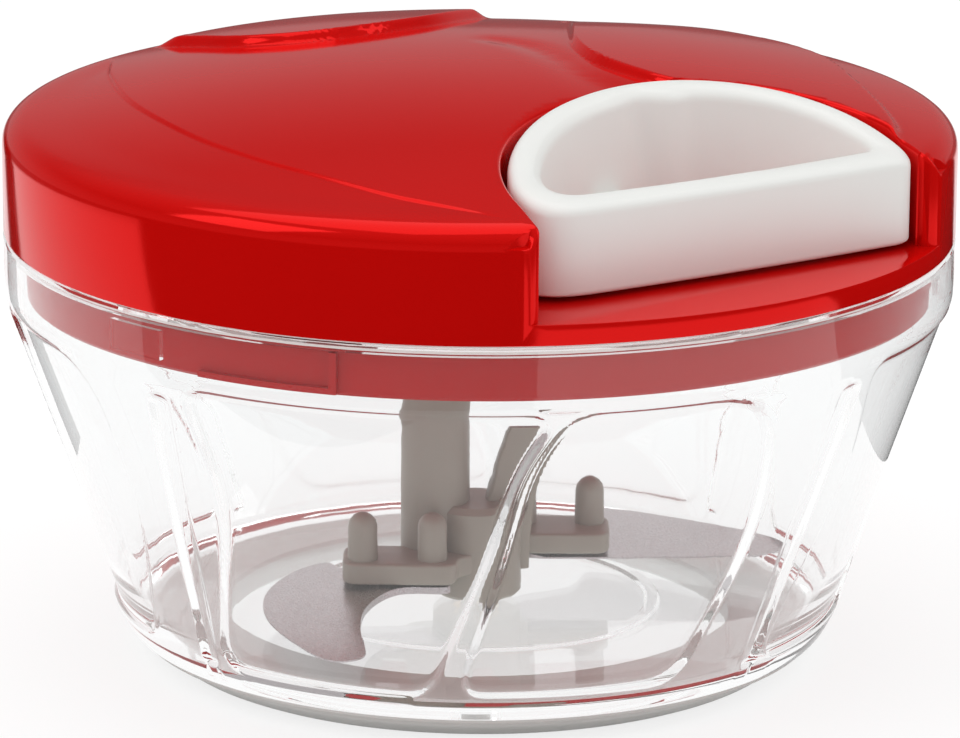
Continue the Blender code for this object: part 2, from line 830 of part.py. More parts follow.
def make_pull_cord(textile):
    leave, target = cord_tangent()
    direction = Vector((target.x - leave[0], target.y - leave[1])).normalized()
    clear_radius = winding_radius + 2 * cord_radius + running_gap
    clear_start = Vector(leave) + direction * math.sqrt(clear_radius**2 - winding_radius**2)
    stop = Vector((cord_line_x, anchor_back_y() + running_gap))
    curve = bpy.data.curves.new("pull_cord", "CURVE")
    curve.dimensions = "3D"
    curve.bevel_depth = cord_radius
    curve.bevel_resolution = 2
    curve.use_fill_caps = True
    spline = curve.splines.new("POLY")
    straight = Vector((0.0, -1.0))
    path = [clear_start]
    for index in range(cord_segments + 1):
        share = index / cord_segments
        before = target - direction * cord_bend * (1 - share) ** 2
        path.append(before + straight * cord_bend * share**2)
    path.append(stop)
    spline.points.add(len(path) - 1)
    for point, place in zip(spline.points, path):
        point.co = (place.x, place.y, cord_height, 1.0)
    curve.materials.append(textile)
    cord = bpy.data.objects.new("pull_cord", curve)
    bpy.context.collection.objects.link(cord)


def make_reel(plastic):
    bottom = reel_bottom_height
    top = reel_top_height
    bore = post_pin_radius + running_gap
    profile = [
        (bore, bottom),
        (reel_flange_radius, bottom),
        (reel_flange_radius, bottom + reel_flange),
        (reel_drum_radius, bottom + reel_flange),
        (reel_drum_radius, top - reel_flange),
        (reel_flange_radius, top - reel_flange),
        (reel_flange_radius, top),
        (reel_arbor_radius, top),
        (reel_arbor_radius, top + reel_arbor_height),
        (bore, top + reel_arbor_height),
    ]
    piece("cord_reel", turned(profile, reel_sides), plastic)


def make_winding(textile):
    bottom = reel_bottom_height + reel_flange + running_gap
    top = reel_top_height - reel_flange - running_gap
    inner = reel_drum_radius + running_gap
    outer = winding_radius + cord_radius
    swell = cord_radius / 2
    profile = [(inner, bottom), (outer - swell, bottom), (outer, bottom + swell)]
    profile += [(outer, top - swell), (outer - swell, top), (inner, top)]
    piece("cord_winding", turned(profile, reel_sides), textile)


def make_drive_cup(plastic):
    bore = post_pin_radius + running_gap
    pocket_top = cup_ceiling_height + screw_pocket_depth
    profile = [
        (cup_inner_radius, cup_bottom_height),
        (cup_radius, cup_bottom_height),
        (cup_radius, cup_top_height),
        (bore, cup_top_height),
        (bore, pocket_top),
        (screw_pocket_radius, pocket_top),
        (screw_pocket_radius, cup_ceiling_height),
        (cup_inner_radius, cup_ceiling_height),
    ]
    cup = piece("drive_cup", turned(profile, reel_sides), plastic)
    half = drive_rib_width / 2
    inner_end = screw_pocket_radius + running_gap
    rib_angle = math.pi + rotor_yaw - drive_rib_lag
    rib = slab(
        [
            turn_point(x, y, rib_angle)
            for x, y in (
                (inner_end, -half),
                (cup_radius - easy_gap, -half),
                (cup_radius - easy_gap, half),
                (inner_end, half),
            )
        ],
        cup_bottom_height,
        cup_ceiling_height + easy_gap,
    )
    boolean(cup, helper("drive_rib_shape", rib), "UNION")


def make_spring(steel):
    """A flat strip wound in a spiral from the reel's arbor to the housing."""
    bottom = reel_top_height + easy_gap * 2
    points = spring_turns * spring_points_per_turn
    inner = reel_arbor_radius + running_gap
    outer = housing_radius - housing_wall - spring_strip - running_gap
    inner_edge = []
    outer_edge = []
    for index in range(points + 1):
        share = index / points
        angle = 2 * math.pi * spring_turns * share
        radius = inner + (outer - inner) * share
        inner_edge.append((radius * math.cos(angle), radius * math.sin(angle)))
        outside = radius + spring_strip
        outer_edge.append((outside * math.cos(angle), outside * math.sin(angle)))
    shape = bmesh.new()
    rows = []
    for (ax, ay), (bx, by) in zip(inner_edge, outer_edge):
        corners = ((ax, ay, bottom), (bx, by, bottom), (bx, by, bottom + spring_height), (ax, ay, bottom + spring_height))
        rows.append([shape.verts.new(corner) for corner in corners])
    shape.faces.new(rows[0])
    shape.faces.new(rows[-1][::-1])
    for low, high in zip(rows, rows[1:]):
        for index, corner in enumerate(low):
            following = (index + 1) % len(low)
            shape.faces.new((corner, high[index], high[following], low[following]))
    piece("recoil_spring", shape, steel)


def make_spring_housing(plastic):
    inner = housing_radius - housing_wall
    roof = housing_top_height - housing_wall
    bore = post_pin_radius + running_gap
    profile = [
        (inner, housing_bottom_height),
        (housing_radius, housing_bottom_height),
        (housing_radius, housing_top_height),
        (bore, housing_top_height),
        (bore, roof),
        (inner, roof),
    ]
    piece("spring_housing", turned(profile, reel_sides), plastic)


def make_reel_post(steel):
    top = lid_crown_height - lid_wall - running_gap - easy_gap
    profile = [
        (0.0, top),
        (0.0, post_pin_bottom_height + screw_length),
        (thread_radius + running_gap, post_pin_bottom_height + screw_length),
        (thread_radius + running_gap, post_pin_bottom_height),
        (post_pin_radius, post_pin_bottom_height),
        (post_pin_radius, top),
    ]
    piece("reel_post", turned(profile, pin_sides), steel)


def make_retaining_parts(steel):
    washer_top = cup_ceiling_height + screw_pocket_depth - running_gap
    washer_bottom = washer_top - washer_thickness
    washer = ring(thread_radius + running_gap, washer_radius, washer_bottom, washer_top, pin_sides)
    piece("reel_washer", washer, steel)
    head_top = washer_bottom - running_gap
    head_bottom = head_top - screw_head_height
    profile = [
        (0.0, head_bottom),
        (screw_head_radius, head_bottom),
        (screw_head_radius, head_top),
        (thread_radius, head_top),
        (thread_radius, head_top + screw_length),
        (0.0, head_top + screw_length),
    ]
    piece("reel_screw", turned(profile, pin_sides), steel)


def make_lid_base(red):
    inner = plug_radius - plug_wall
    flange_radius = plug_radius + plug_flange
    flange_top = lid_skirt_height + running_gap
    flange_bottom = flange_top - plug_flange_thickness
    profile = [
        (plate_hole_radius, plate_bottom_height),
        (inner, plate_bottom_height),
        (inner, plug_bottom_height),
        (plug_radius, plug_bottom_height),
        (plug_radius, flange_bottom),
        (flange_radius, flange_bottom),
        (flange_radius, flange_top),
        (inner, flange_top),
        (inner, plate_top_height),
        (plate_hole_radius, plate_top_height),
    ]
    base = piece("lid_base", turned(profile, bowl_sides), red)
    inside = plug_radius - plug_wall / 2
    outside = plug_radius + lug_rise
    wall_top = plug_bottom_height + lug_height
    for index in range(pip_count):
        start = first_pip_angle + lug_lead / plug_radius + index * 2 * math.pi / pip_count
        stop = start + lug_length / plug_radius
        floor = arc_band(
            inside, outside, start, stop, plug_bottom_height + running_gap, plug_bottom_height + lug_width, lug_arc_steps
        )
        boolean(base, helper(f"lock_ledge_{index + 1}_shape", floor), "UNION")
        wall_span = lug_width / plug_radius
        wall = arc_band(inside, outside, stop - wall_span, stop, plug_bottom_height + easy_gap, wall_top, 1)
        boolean(base, helper(f"lock_stop_{index + 1}_shape", wall), "UNION")
    for index, (x, y) in enumerate(lid_screw_places()):
        hole = rod(
            lid_screw_hole_radius,
            plate_bottom_height - cut_overrun,
            plate_top_height + cut_overrun,
            rotor_sides // 2,
            (x, y),
        )
        boolean(base, helper(f"plate_hole_{index + 1}_cutter", hole), "DIFFERENCE")


def make_lid_screws(steel):
    top = plate_bottom_height - running_gap
    for index, (x, y) in enumerate(lid_screw_places()):
        profile = [
            (0.0, top - lid_screw_head_height),
            (lid_screw_head_radius, top - lid_screw_head_height),
            (lid_screw_head_radius, top),
            (lid_screw_radius, top),
            (lid_screw_radius, top + lid_screw_length),
            (0.0, top + lid_screw_length),
        ]
        shape = turned(profile, rotor_sides // 2)
        bmesh.ops.translate(shape, verts=shape.verts, vec=(x, y, 0.0))
        piece(f"lid_screw_{index + 1}", shape, steel)


def make_seal(silicone):
    outer = bowl_radius - bowl_lip_wall - seal_side_gap - running_gap
    inner = bowl_inner_radius + seal_side_gap
    bottom = bowl_rim_height - seal_seat_depth + running_gap
    piece("seal_ring", ring(inner, outer, bottom, lid_skirt_height - running_gap, bowl_sides), silicone)


def make_chopper():
    red = finish_of("red gloss plastic", (0.62, 0.010, 0.012), 0.16)
    white = finish_of("warm white plastic", (0.76, 0.73, 0.69), 0.35)
    clear = finish_of("clear plastic", (0.95, 0.96, 0.96), 0.05, 0.0, 0.25)
    taupe = finish_of("taupe plastic", (0.31, 0.26, 0.22), 0.40)
    rubber = finish_of("frosted grey rubber", (0.72, 0.72, 0.70), 0.55, 0.0, 0.7)
    steel = finish_of("brushed stainless steel", (0.60, 0.58, 0.57), 0.28, 1.0)
    brass = finish_of("brass", (0.72, 0.55, 0.28), 0.30, 1.0)
    inner_white = finish_of("inner white plastic", (0.70, 0.70, 0.68), 0.45)
    textile = finish_of("white braided cord", (0.80, 0.78, 0.74), 0.80)
    silicone = finish_of("clear silicone", (0.80, 0.82, 0.82), 0.40, 0.0, 0.6)

    make_bowl(clear)
    make_foot_ring(rubber)
    make_centre_pin(steel)
    make_carrier(taupe)
    make_hub_bush(brass)
    make_blade("lower_blade", lower_blade_shares, 0.0, steel)
    make_blade("upper_blade", upper_blade_shares, right_arm_lift, steel)
    make_seal(silicone)
    make_lid_cover(red)
    make_lid_base(red)
    make_lid_screws(steel)
    make_cord_guide(steel)
    make_handle(white)
    make_cord_anchor(steel)
    make_pull_cord(textile)
    make_reel(inner_white)
    make_winding(textile)
    make_drive_cup(taupe)
    make_spring(steel)
    make_spring_housing(inner_white)
    make_reel_post(steel)
    make_retaining_parts(steel)


clear_scene()
make_chopper()
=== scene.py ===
"""Looks of a pull-cord food chopper: a clear bowl, a red lid with a pull handle in its pocket, and the blades inside."""

import math

import bmesh
import bpy
import numpy as np
from mathutils import Matrix, Vector


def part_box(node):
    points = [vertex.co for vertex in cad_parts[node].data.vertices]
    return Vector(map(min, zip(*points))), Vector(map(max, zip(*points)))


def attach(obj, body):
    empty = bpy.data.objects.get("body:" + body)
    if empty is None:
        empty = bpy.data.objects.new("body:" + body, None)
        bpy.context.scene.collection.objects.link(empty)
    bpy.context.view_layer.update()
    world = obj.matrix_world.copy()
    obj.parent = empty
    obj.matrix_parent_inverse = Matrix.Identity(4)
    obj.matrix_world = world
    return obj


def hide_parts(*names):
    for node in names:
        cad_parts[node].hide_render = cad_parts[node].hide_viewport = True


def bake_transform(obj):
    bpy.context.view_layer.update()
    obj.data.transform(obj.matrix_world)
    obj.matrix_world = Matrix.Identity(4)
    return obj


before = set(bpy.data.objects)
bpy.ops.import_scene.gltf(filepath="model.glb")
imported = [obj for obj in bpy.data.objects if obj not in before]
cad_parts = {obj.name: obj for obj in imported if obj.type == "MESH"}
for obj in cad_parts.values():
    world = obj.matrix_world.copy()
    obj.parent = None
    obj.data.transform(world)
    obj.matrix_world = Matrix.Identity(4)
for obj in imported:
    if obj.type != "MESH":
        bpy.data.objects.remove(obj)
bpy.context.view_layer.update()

# Sizes are in millimetres, and the makers turn them into Blender's metres
MM = 0.001
MERGE = 0.002
CUT_OVERRUN = 2.0


def box_mm(node):
    low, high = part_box(node)
    return [value / MM for value in low], [value / MM for value in high]


# Driving sizes, read from the frame
bowl_low, bowl_high = box_mm("bowl")
foot_low, foot_high = box_mm("foot_ring")
cover_low, cover_high = box_mm("lid_cover")
base_low, base_high = box_mm("lid_base")
grip_low, grip_high = box_mm("pull_handle")
BOWL_RADIUS = bowl_high[0]
BOWL_FLOOR = bowl_low[2]
BOWL_RIM = bowl_high[2]
LID_RADIUS = BOWL_RADIUS
HANDLE_BOTTOM = grip_low[2]
HANDLE_BACK_TOP = grip_high[2]
PLUG_BOTTOM = base_low[2]

# Bowl
BOWL_WALL = 2.0
BOWL_NECK = (BOWL_RADIUS - 0.3, BOWL_RIM - 9.2)
BOWL_KNEE = (51.4, BOWL_FLOOR + 3.1)
BOWL_FLOOR_TOP = BOWL_FLOOR + 2.0
BOWL_FOOT_RADIUS = 49.6
BOWL_INNER_RADIUS = BOWL_RADIUS - BOWL_WALL
BOWL_LIP_WALL = 1.1
BOWL_SEAT = BOWL_RIM - 1.3
BOWL_STEPS = 240
BOWL_RING_GAP = 1.8
FLOOR_RING_RADIUS = 25.0
PIP_COUNT = 3
PIP_ANGLE = -167.2
PIP_LENGTH = 9.7
PIP_HEIGHT = 4.0
PIP_MIDDLE = BOWL_RIM - 4.2
PIP_RISE = 0.7

# Relief on the bowl's side, which repeats four times. Angles are in degrees from the first groove's side
RELIEF_COUNT = 4
RELIEF_START = -123.0
RELIEF_RADIUS = 59.0
PANEL_DEPTH = 0.75
PANEL_EDGE = 1.2
GROOVE_DEPTH = 0.6
GROOVE_EDGE = 0.9
WIDE_PANEL = (
    (-36.5, 51.2, 4.0),
    (-33.4, 34.0, 9.0),
    (-41.6, 7.9, 5.0),
    (-7.0, 7.9, 4.0),
    (0.6, 26.0, 9.0),
    (5.0, 43.0, 6.0),
    (9.5, 51.2, 5.0),
)
NARROW_PANEL = (
    (11.0, 51.2, 4.0),
    (6.4, 43.0, 6.0),
    (3.0, 26.0, 9.0),
    (-2.6, 8.2, 4.0),
    (31.4, 8.2, 5.0),
    (39.6, 29.0, 10.0),
    (36.6, 51.2, 9.0),
)
GROOVE = ((-41.8, 49.0, 1.2), (-45.6, 7.4, 1.2), (-43.0, 7.4, 1.2), (-38.9, 49.0, 1.2))

# Lid cover
LID_BOTTOM = BOWL_RIM + 0.3
LID_WALL = 2.2
LID_SHOULDER = 1.5
SHOULDER_WIDTH = 3.4
SHOULDER_DROP = 3.6
LID_CROWN = 82.9
LID_CROWN_RISE = 6.8
LID_STEPS = 256
LID_RING_GAP = 1.6
LIP_ROUND = 0.7
BACK_PETAL_RISE = 1.5
RIGHT_PETAL_RISE = 1.2
RIGHT_PETAL_END = (16.0, 44.0)
LEFT_CREASE = 0.32
LEFT_CREASE_FADE = 16.0
VALLEY_DEPTH = 0.6
VALLEY_SLOPE = 8.0
PETAL_FADE = (57.0, 63.0)
BACK_PETAL = (
    (-20.0, 76.0),
    (-18.5, 62.0),
    (-16.8, 50.0),
    (-15.4, 42.5),
    (-12.0, 37.5),
    (-7.5, 34.5),
    (-0.5, 33.4),
    (8.6, 34.7),
    (18.0, 38.9),
    (31.7, 49.1),
    (42.0, 57.5),
    (56.0, 74.0),
)
RIGHT_PETAL = (
    (52.0, 60.0),
    (40.0, 41.2),
    (37.2, 33.3),
    (28.0, 19.3),
    (20.6, 7.3),
    (16.6, -4.0),
    (16.8, -14.0),
    (20.0, -22.6),
    (33.0, -46.5),
    (39.2, -44.0),
    (44.3, -34.6),
    (50.8, -18.6),
    (56.5, -4.0),
    (58.2, 10.0),
    (61.8, 28.0),
    (76.0, 41.0),
)
LEFT_LOBE = (
    (-20.0, 76.0),
    (-26.8, 57.5),
    (-36.4, 40.2),
    (-44.2, 20.0),
    (-47.4, -1.0),
    (-46.4, -16.4),
    (-43.3, -28.5),
    (-40.0, -38.4),
    (-36.7, -44.8),
    (-32.9, -51.0),
    (-29.0, -57.5),
    (-24.0, -74.0),
    (-80.0, -70.0),
    (-95.0, 0.0),
    (-70.0, 75.0),
)
VALLEY = (
    (9.4, 19.7),
    (9.5, 11.2),
    (8.1, 0.5),
    (5.9, -7.0),
    (1.6, -14.8),
    (-3.4, -20.8),
    (-10.8, -27.7),
    (-4.0, -40.0),
    (20.0, -40.0),
    (19.0, -22.0),
    (17.0, -15.0),
    (16.2, -7.3),
    (18.4, 1.5),
    (20.0, 12.0),
    (16.0, 22.0),
)

# Pocket in the lid, and the handle that lies in it
HANDLE_MIDDLE = (5.4, grip_low[1] + 2.0)
HANDLE_HALF_WIDTH = 31.4
HANDLE_DEPTH = 30.3
HANDLE_SKEW = 6.1
HANDLE_NOSE = 1.2
HANDLE_BULGE = 0.8
HANDLE_FRONT_TOP = HANDLE_BOTTOM + 12.3
HANDLE_RISE = 7.4
HANDLE_WALL = 4.6
HANDLE_CORNERS = (9.0, 3.0)
LOOP_CORNERS = (7.0, 2.0)
HANDLE_ROUND = 1.5
HANDLE_LOW_ROUND = 0.8
HANDLE_STEPS = 56
HANDLE_FRONT_STEPS = 24
HANDLE_POINTS = 180
HANDLE_DRAFT = 2.4
HANDLE_EDGE_LEVELS = (
    ("low", 90.0),
    ("low", 60.0),
    ("low", 30.0),
    ("low", 0.0),
    ("high", 0.0),
    ("high", 22.5),
    ("high", 45.0),
    ("high", 67.5),
    ("high", 90.0),
)
POCKET_GAP = 0.9
POCKET_WALL = 2.0
POCKET_FLOOR = LID_BOTTOM + 2.9
POCKET_FLOOR_WALL = 2.2
POCKET_ROUND = 0.7
POCKET_STEPS = 64
BEADS = {-1: (1.8, 1.4), 1: (1.8, 0.2)}
BEAD_STEPS = 10
CORD_X = 2.5
CORD_HEIGHT = HANDLE_BOTTOM + 3.0
CORD_RADIUS = 0.9
CORD_ENDS = (-13.3, -28.4)
CORD_RINGS = 30
CORD_HOLE = 1.2
BOSS_Y = -29.2
BOSS_RADIUS = 3.4
GUIDE_RECESS = -23.4
GUIDE_ROOM = 4.1
RIDGE_X = 14.3
RIDGE_WIDTH = 2.6
RIDGE_HEIGHT = 1.1
RIDGE_GROOVE = 0.7
CUT_EDGE = 0.3

# Lid base: the plug inside the bowl's rim
PLUG_RADIUS = BOWL_INNER_RADIUS - 1.2
PLUG_WALL = 2.0
PLUG_FLANGE = 0.7
PLATE_RECESS = 5.0
PLATE_THICKNESS = 2.0
LEDGE_LEAD = 10.6
LEDGE_LENGTH = 19.9
LEDGE_RISE = 0.8
LEDGE_HEIGHT = 5.9
SCREW_NODES = ("lid_screw_1", "lid_screw_2", "lid_screw_3", "lid_screw_4")
SCREW_ENDS = (box_mm("lid_screw_1")[0][2], box_mm("lid_screw_1")[1][2])
SCREW_PITCH = 1.1
SCREW_HEAD_RADIUS = 2.8
SCREW_HEAD_HEIGHT = 1.4
SCREW_RADIUS = 1.3

# Rotor, in a frame turned by ROTOR_YAW: x is along the photograph's right, y away from its camera
ROTOR_YAW = -33.0
HUB_RADIUS = 6.2
HUB_BOTTOM = BOWL_FLOOR_TOP + 1.0
HUB_HEIGHT = 13.5
ARM_BOTTOM = HUB_BOTTOM + 4.0
ARM_THICKNESS = 3.0
ARM_SIZE = (16.0, 9.6)
ARM_MIDDLE = (10.9, 6.4)
ARM_CORNER = 2.5
ARM_WEB = 9.0
RIGHT_ARM_LIFT = 0.8
STUD_RADIUS = 2.05
STUD_HEIGHT = 6.8
STUD_PLACES = ((16.1, 7.9), (6.3, 7.9))
POST_RADIUS = 4.8
POST_OFFSET = 6.0
POST_TOP = 56.6
PADDLE_BOTTOM = HUB_BOTTOM + ARM_THICKNESS
PADDLE_HEIGHT = 22.0
BLADE_REACH = 45.0
BLADE_THICKNESS = 1.0
BLADE_GAP = 0.3
LOWER_BLADE = (
    (-0.090, -0.238),
    (-0.100, -0.160),
    (-0.170, -0.060),
    (-0.415, -0.060),
    (-0.470, 0.060),
    (-0.560, -0.010),
    (-0.620, -0.130),
    (-0.655, -0.260),
    (-0.660, -0.390),
    (-0.640, -0.520),
    (-0.595, -0.670),
    (-0.530, -0.810),
    (-0.465, -0.915),
    (-0.400, -0.945),
    (-0.345, -0.915),
    (-0.332, -0.850),
    (-0.350, -0.700),
    (-0.352, -0.550),
    (-0.335, -0.430),
    (-0.290, -0.310),
    (-0.225, -0.245),
)
UPPER_BLADE = (
    (0.115, 0.095),
    (0.640, 0.095),
    (0.860, 0.115),
    (0.985, 0.175),
    (0.940, 0.270),
    (0.830, 0.350),
    (0.700, 0.430),
    (0.560, 0.510),
    (0.440, 0.560),
    (0.360, 0.570),
    (0.300, 0.420),
    (0.115, 0.300),
)

# Camera, in the photograph's own frame of 960 by 738
CAMERA_AZIMUTH = -33.0
CAMERA_ELEVATION = 15.44
CAMERA_ROLL = 0.42
CAMERA_DISTANCE = 800.0
CAMERA_AIM = (0.23, 39.3)
CAMERA_FOCAL_PIXELS = 5670.0
PHOTO_WIDTH = 960
SENSOR_WIDTH = 36.0

# Black cards on the floor, by their corners as the camera sees them: right and away from it
CARDS = {
    "front_card": ((-105.7, -51.3), (22.3, -124.3), (366.5, -1522.5), (-1200.0, -1200.0), (-1543.7, -126.2)),
    "left_card": ((-95.0, 33.0), (-689.0, 1006.0), (-457.0, 1124.0), (-85.2, 45.8)),
    "right_card": ((120.0, -20.0), (1500.0, -150.0), (900.0, 1300.0), (50.0, 118.0)),
}

# Light that has bounced more often than this goes straight through the clear plastic
MOST_BOUNCES = 4


# Making shapes


def stand_alone(obj=None):
    if bpy.context.mode != "OBJECT":
        bpy.ops.object.mode_set(mode="OBJECT")
    bpy.ops.object.select_all(action="DESELECT")
    if obj:
        obj.select_set(True)
        bpy.context.view_layer.objects.active = obj


def open_for_edit(obj):
    stand_alone(obj)
    bpy.ops.object.mode_set(mode="EDIT")
    bpy.ops.mesh.select_all(action="SELECT")


def make_sound():
    """Merges doubles and turns the faces outward, in edit mode, then leaves it."""
    bpy.ops.mesh.select_all(action="SELECT")
    bpy.ops.mesh.remove_doubles(threshold=MERGE * MM)
    bpy.ops.mesh.normals_make_consistent(inside=False)
    bpy.ops.object.mode_set(mode="OBJECT")


def draw_line(name, points):
    """One point, extruded along the rest, left in edit mode."""
    stand_alone()
    bpy.ops.mesh.primitive_plane_add(size=MM, location=(0, 0, 0))
    obj = bpy.context.object
    obj.name = name
    bpy.ops.object.mode_set(mode="EDIT")
    bpy.ops.mesh.select_all(action="SELECT")
    bpy.ops.mesh.merge(type="CENTER")
    bpy.ops.transform.translate(value=[value * MM for value in points[0]])
    for here, there in zip(points, points[1:]):
        step = [(stop - start) * MM for start, stop in zip(here, there)]
        bpy.ops.mesh.extrude_region_move(TRANSFORM_OT_translate={"value": step})
    return obj


def spun(name, profile, steps, around=(0.0, 0.0)):
    """A closed profile of (radius, height) pairs, spun about an upright axis."""
    line = [(radius, 0.0, height) for radius, height in profile]
    obj = draw_line(name, line + line[:1])
    bpy.ops.mesh.select_all(action="SELECT")
    bpy.ops.mesh.remove_doubles(threshold=MERGE * MM)
    bpy.ops.mesh.spin(steps=steps, angle=math.tau, center=(0, 0, 0), axis=(0, 0, 1))
    make_sound()
    if around != (0.0, 0.0):
        open_for_edit(obj)
        bpy.ops.transform.translate(value=(around[0] * MM, around[1] * MM, 0))
        bpy.ops.object.mode_set(mode="OBJECT")
    return obj


def plate(name, outline, bottom, top):
    """An outline of (x, y) pairs, filled and extruded upward."""
    line = [(x, y, bottom) for x, y in outline]
    obj = draw_line(name, line + line[:1])
    bpy.ops.mesh.select_all(action="SELECT")
    bpy.ops.mesh.remove_doubles(threshold=MERGE * MM)
    bpy.ops.mesh.select_all(action="SELECT")
    bpy.ops.mesh.edge_face_add()
    bpy.ops.mesh.extrude_region_move(TRANSFORM_OT_translate={"value": (0, 0, (top - bottom) * MM)})
    make_sound()
    return obj


def loft(name, rings):
    """A closed solid through rings of equally many points, each ring above the last."""
    count = len(rings[0])
    points = [[value * MM for value in point] for ring in rings for point in ring]
    faces = [tuple(reversed(range(count)))]
    for level in range(len(rings) - 1):
        start = level * count
        for index in range(count):
            following = (index + 1) % count
            faces.append((start + index, start + following, start + count + following, start + count + index))
    faces.append(tuple(range(len(points) - count, len(points))))
    mesh = bpy.data.meshes.new(name)
    mesh.from_pydata(points, [], faces)
    obj = bpy.data.objects.new(name, mesh)
    bpy.context.scene.collection.objects.link(obj)
    open_for_edit(obj)
    make_sound()
    return obj


def combined(obj, other, operation):
    stand_alone(obj)
    change = obj.modifiers.new("shape", "BOOLEAN")
    change.object = other
    change.operation = operation
    change.solver = "MANIFOLD"
    bpy.ops.object.modifier_apply(modifier=change.name)
    bpy.data.objects.remove(other)
    return obj


def joined(obj, other):
    return combined(obj, other, "UNION")


def cut(obj, other):
    return combined(obj, other, "DIFFERENCE")


def chamfered(obj, width, segments=3, angle=35.0):
    """Rounds every edge that turns by more than the angle."""
    stand_alone(obj)
    change = obj.modifiers.new("edges", "BEVEL")
    change.width = width * MM
    change.segments = segments
    change.limit_method = "ANGLE"
    change.angle_limit = math.radians(angle)
    change.use_clamp_overlap = True
    bpy.ops.object.modifier_apply(modifier=change.name)
    return obj


def turned_about_z(obj, degrees):
    stand_alone(obj)
    obj.rotation_euler.z = math.radians(degrees)
    bpy.ops.object.transform_apply(location=False, rotation=True, scale=False)
    return obj


def smooth(obj, angle=35.0):
    stand_alone(obj)
    bpy.ops.object.shade_smooth_by_angle(angle=math.radians(angle))
    return obj


def face_centres(obj):
    centres = np.empty(len(obj.data.polygons) * 3)
    obj.data.polygons.foreach_get("center", centres)
    return centres.reshape(-1, 3) / MM


def refine(obj, wanted, cuts):
    """Subdivides the faces that wanted picks from the faces' centres."""
    open_for_edit(obj)
    bpy.ops.mesh.select_all(action="DESELECT")
    bpy.ops.mesh.select_mode(type="FACE")
    bpy.ops.object.mode_set(mode="OBJECT")
    obj.data.polygons.foreach_set("select", wanted(face_centres(obj)))
    bpy.ops.object.mode_set(mode="EDIT")
    bpy.ops.mesh.subdivide(number_cuts=cuts)
    bpy.ops.mesh.select_mode(type="VERT")
    bpy.ops.object.mode_set(mode="OBJECT")


def moved_points(obj, move):
    """Gives the mesh the points that move returns for its points."""
    points = np.empty(len(obj.data.vertices) * 3)
    obj.data.vertices.foreach_get("co", points)
    points = move(points.reshape(-1, 3) / MM)
    obj.data.vertices.foreach_set("co", (points * MM).ravel())
    obj.data.update()


# Measuring in code


def ease(value):
    share = np.clip(value, 0.0, 1.0)
    return share * share * (3 - 2 * share)


def depth_inside(places, outline):
    """How far each place lies inside a closed outline, negative outside."""
    nearest = np.full(len(places), np.inf)
    inside = np.zeros(len(places), bool)
    for start, stop in zip(outline, outline[1:] + outline[:1]):
        start, stop = np.array(start), np.array(stop)
        run = stop - start
        away = places - start
        share = np.clip(away @ run / (run @ run), 0.0, 1.0)
        nearest = np.minimum(nearest, np.linalg.norm(away - share[:, None] * run, axis=1))
        if run[1]:
            crosses = (start[1] > places[:, 1]) != (stop[1] > places[:, 1])
            inside ^= crosses & (places[:, 0] < start[0] + run[0] * away[:, 1] / run[1])
    return np.where(inside, nearest, -nearest)


def flowing(points, steps=8):
    """A smooth closed curve through the points."""
    curve = []
    count = len(points)
    for index in range(count):
        before, here, there, after = (Vector(points[(index + shift) % count]) for shift in (-1, 0, 1, 2))
        for step in range(steps):
            t = step / steps
            place = here * 2 + (there - before) * t
            place += (before * 2 - here * 5 + there * 4 - after) * t * t
            place += (here * 3 - before - there * 3 + after) * t * t * t
            curve.append(tuple(place / 2))
    return curve


def rounded_outline(corners, steps=6):
    """A closed outline whose corners (x, y, radius) are rounded."""
    curve = []
    count = len(corners)
    for index, (x, y, radius) in enumerate(corners):
        here = Vector((x, y))
        before = Vector(corners[index - 1][:2])
        after = Vector(corners[(index + 1) % count][:2])
        reach = min(radius, (before - here).length * 0.49, (after - here).length * 0.49)
        start = here + (before - here).normalized() * reach
        stop = here + (after - here).normalized() * reach
        for step in range(steps + 1):
            t = step / steps
            curve.append(tuple(start * (1 - t) ** 2 + here * 2 * t * (1 - t) + stop * t * t))
    return curve


def around_circle(radius, middle, start, stop, steps):
    """Points of an arc, with its angles in degrees."""
    points = []
    for index in range(steps + 1):
        angle = math.radians(start + (stop - start) * index / steps)
        points.append((middle[0] + radius * math.cos(angle), middle[1] + radius * math.sin(angle)))
    return points


# Bowl


def bowl_side_radius(height):
    share = (height - BOWL_KNEE[1]) / (BOWL_NECK[1] - BOWL_KNEE[1])
    return BOWL_KNEE[0] + (BOWL_NECK[0] - BOWL_KNEE[0]) * share


def in_relief_plane(corners):
    return rounded_outline([(math.radians(angle) * RELIEF_RADIUS, height, radius) for angle, height, radius in corners])


RELIEF_OUTLINES = [in_relief_plane(corners) for corners in (WIDE_PANEL, NARROW_PANEL, GROOVE)]


def relief_places(points):
    """Points on the bowl's side, laid flat in one repeat of the relief."""
    repeat = 360.0 / RELIEF_COUNT
    angle = np.degrees(np.arctan2(points[:, 1], points[:, 0])) - RELIEF_START
    angle = (angle + 48.0) % repeat - 48.0
    return np.column_stack([np.radians(angle) * RELIEF_RADIUS, points[:, 2]])


def on_bowl_side(points):
    radius = np.hypot(points[:, 0], points[:, 1])
    height = points[:, 2]
    near = radius > bowl_side_radius(height) - BOWL_WALL / 2
    return near & (height > BOWL_KNEE[1] - 0.1) & (height < BOWL_NECK[1] + 1.0)


def near_relief(centres):
    places = relief_places(centres)
    near = np.zeros(len(places), bool)
    for outline in RELIEF_OUTLINES:
        near |= np.abs(depth_inside(places, outline)) < 2.6
    return near & on_bowl_side(centres)


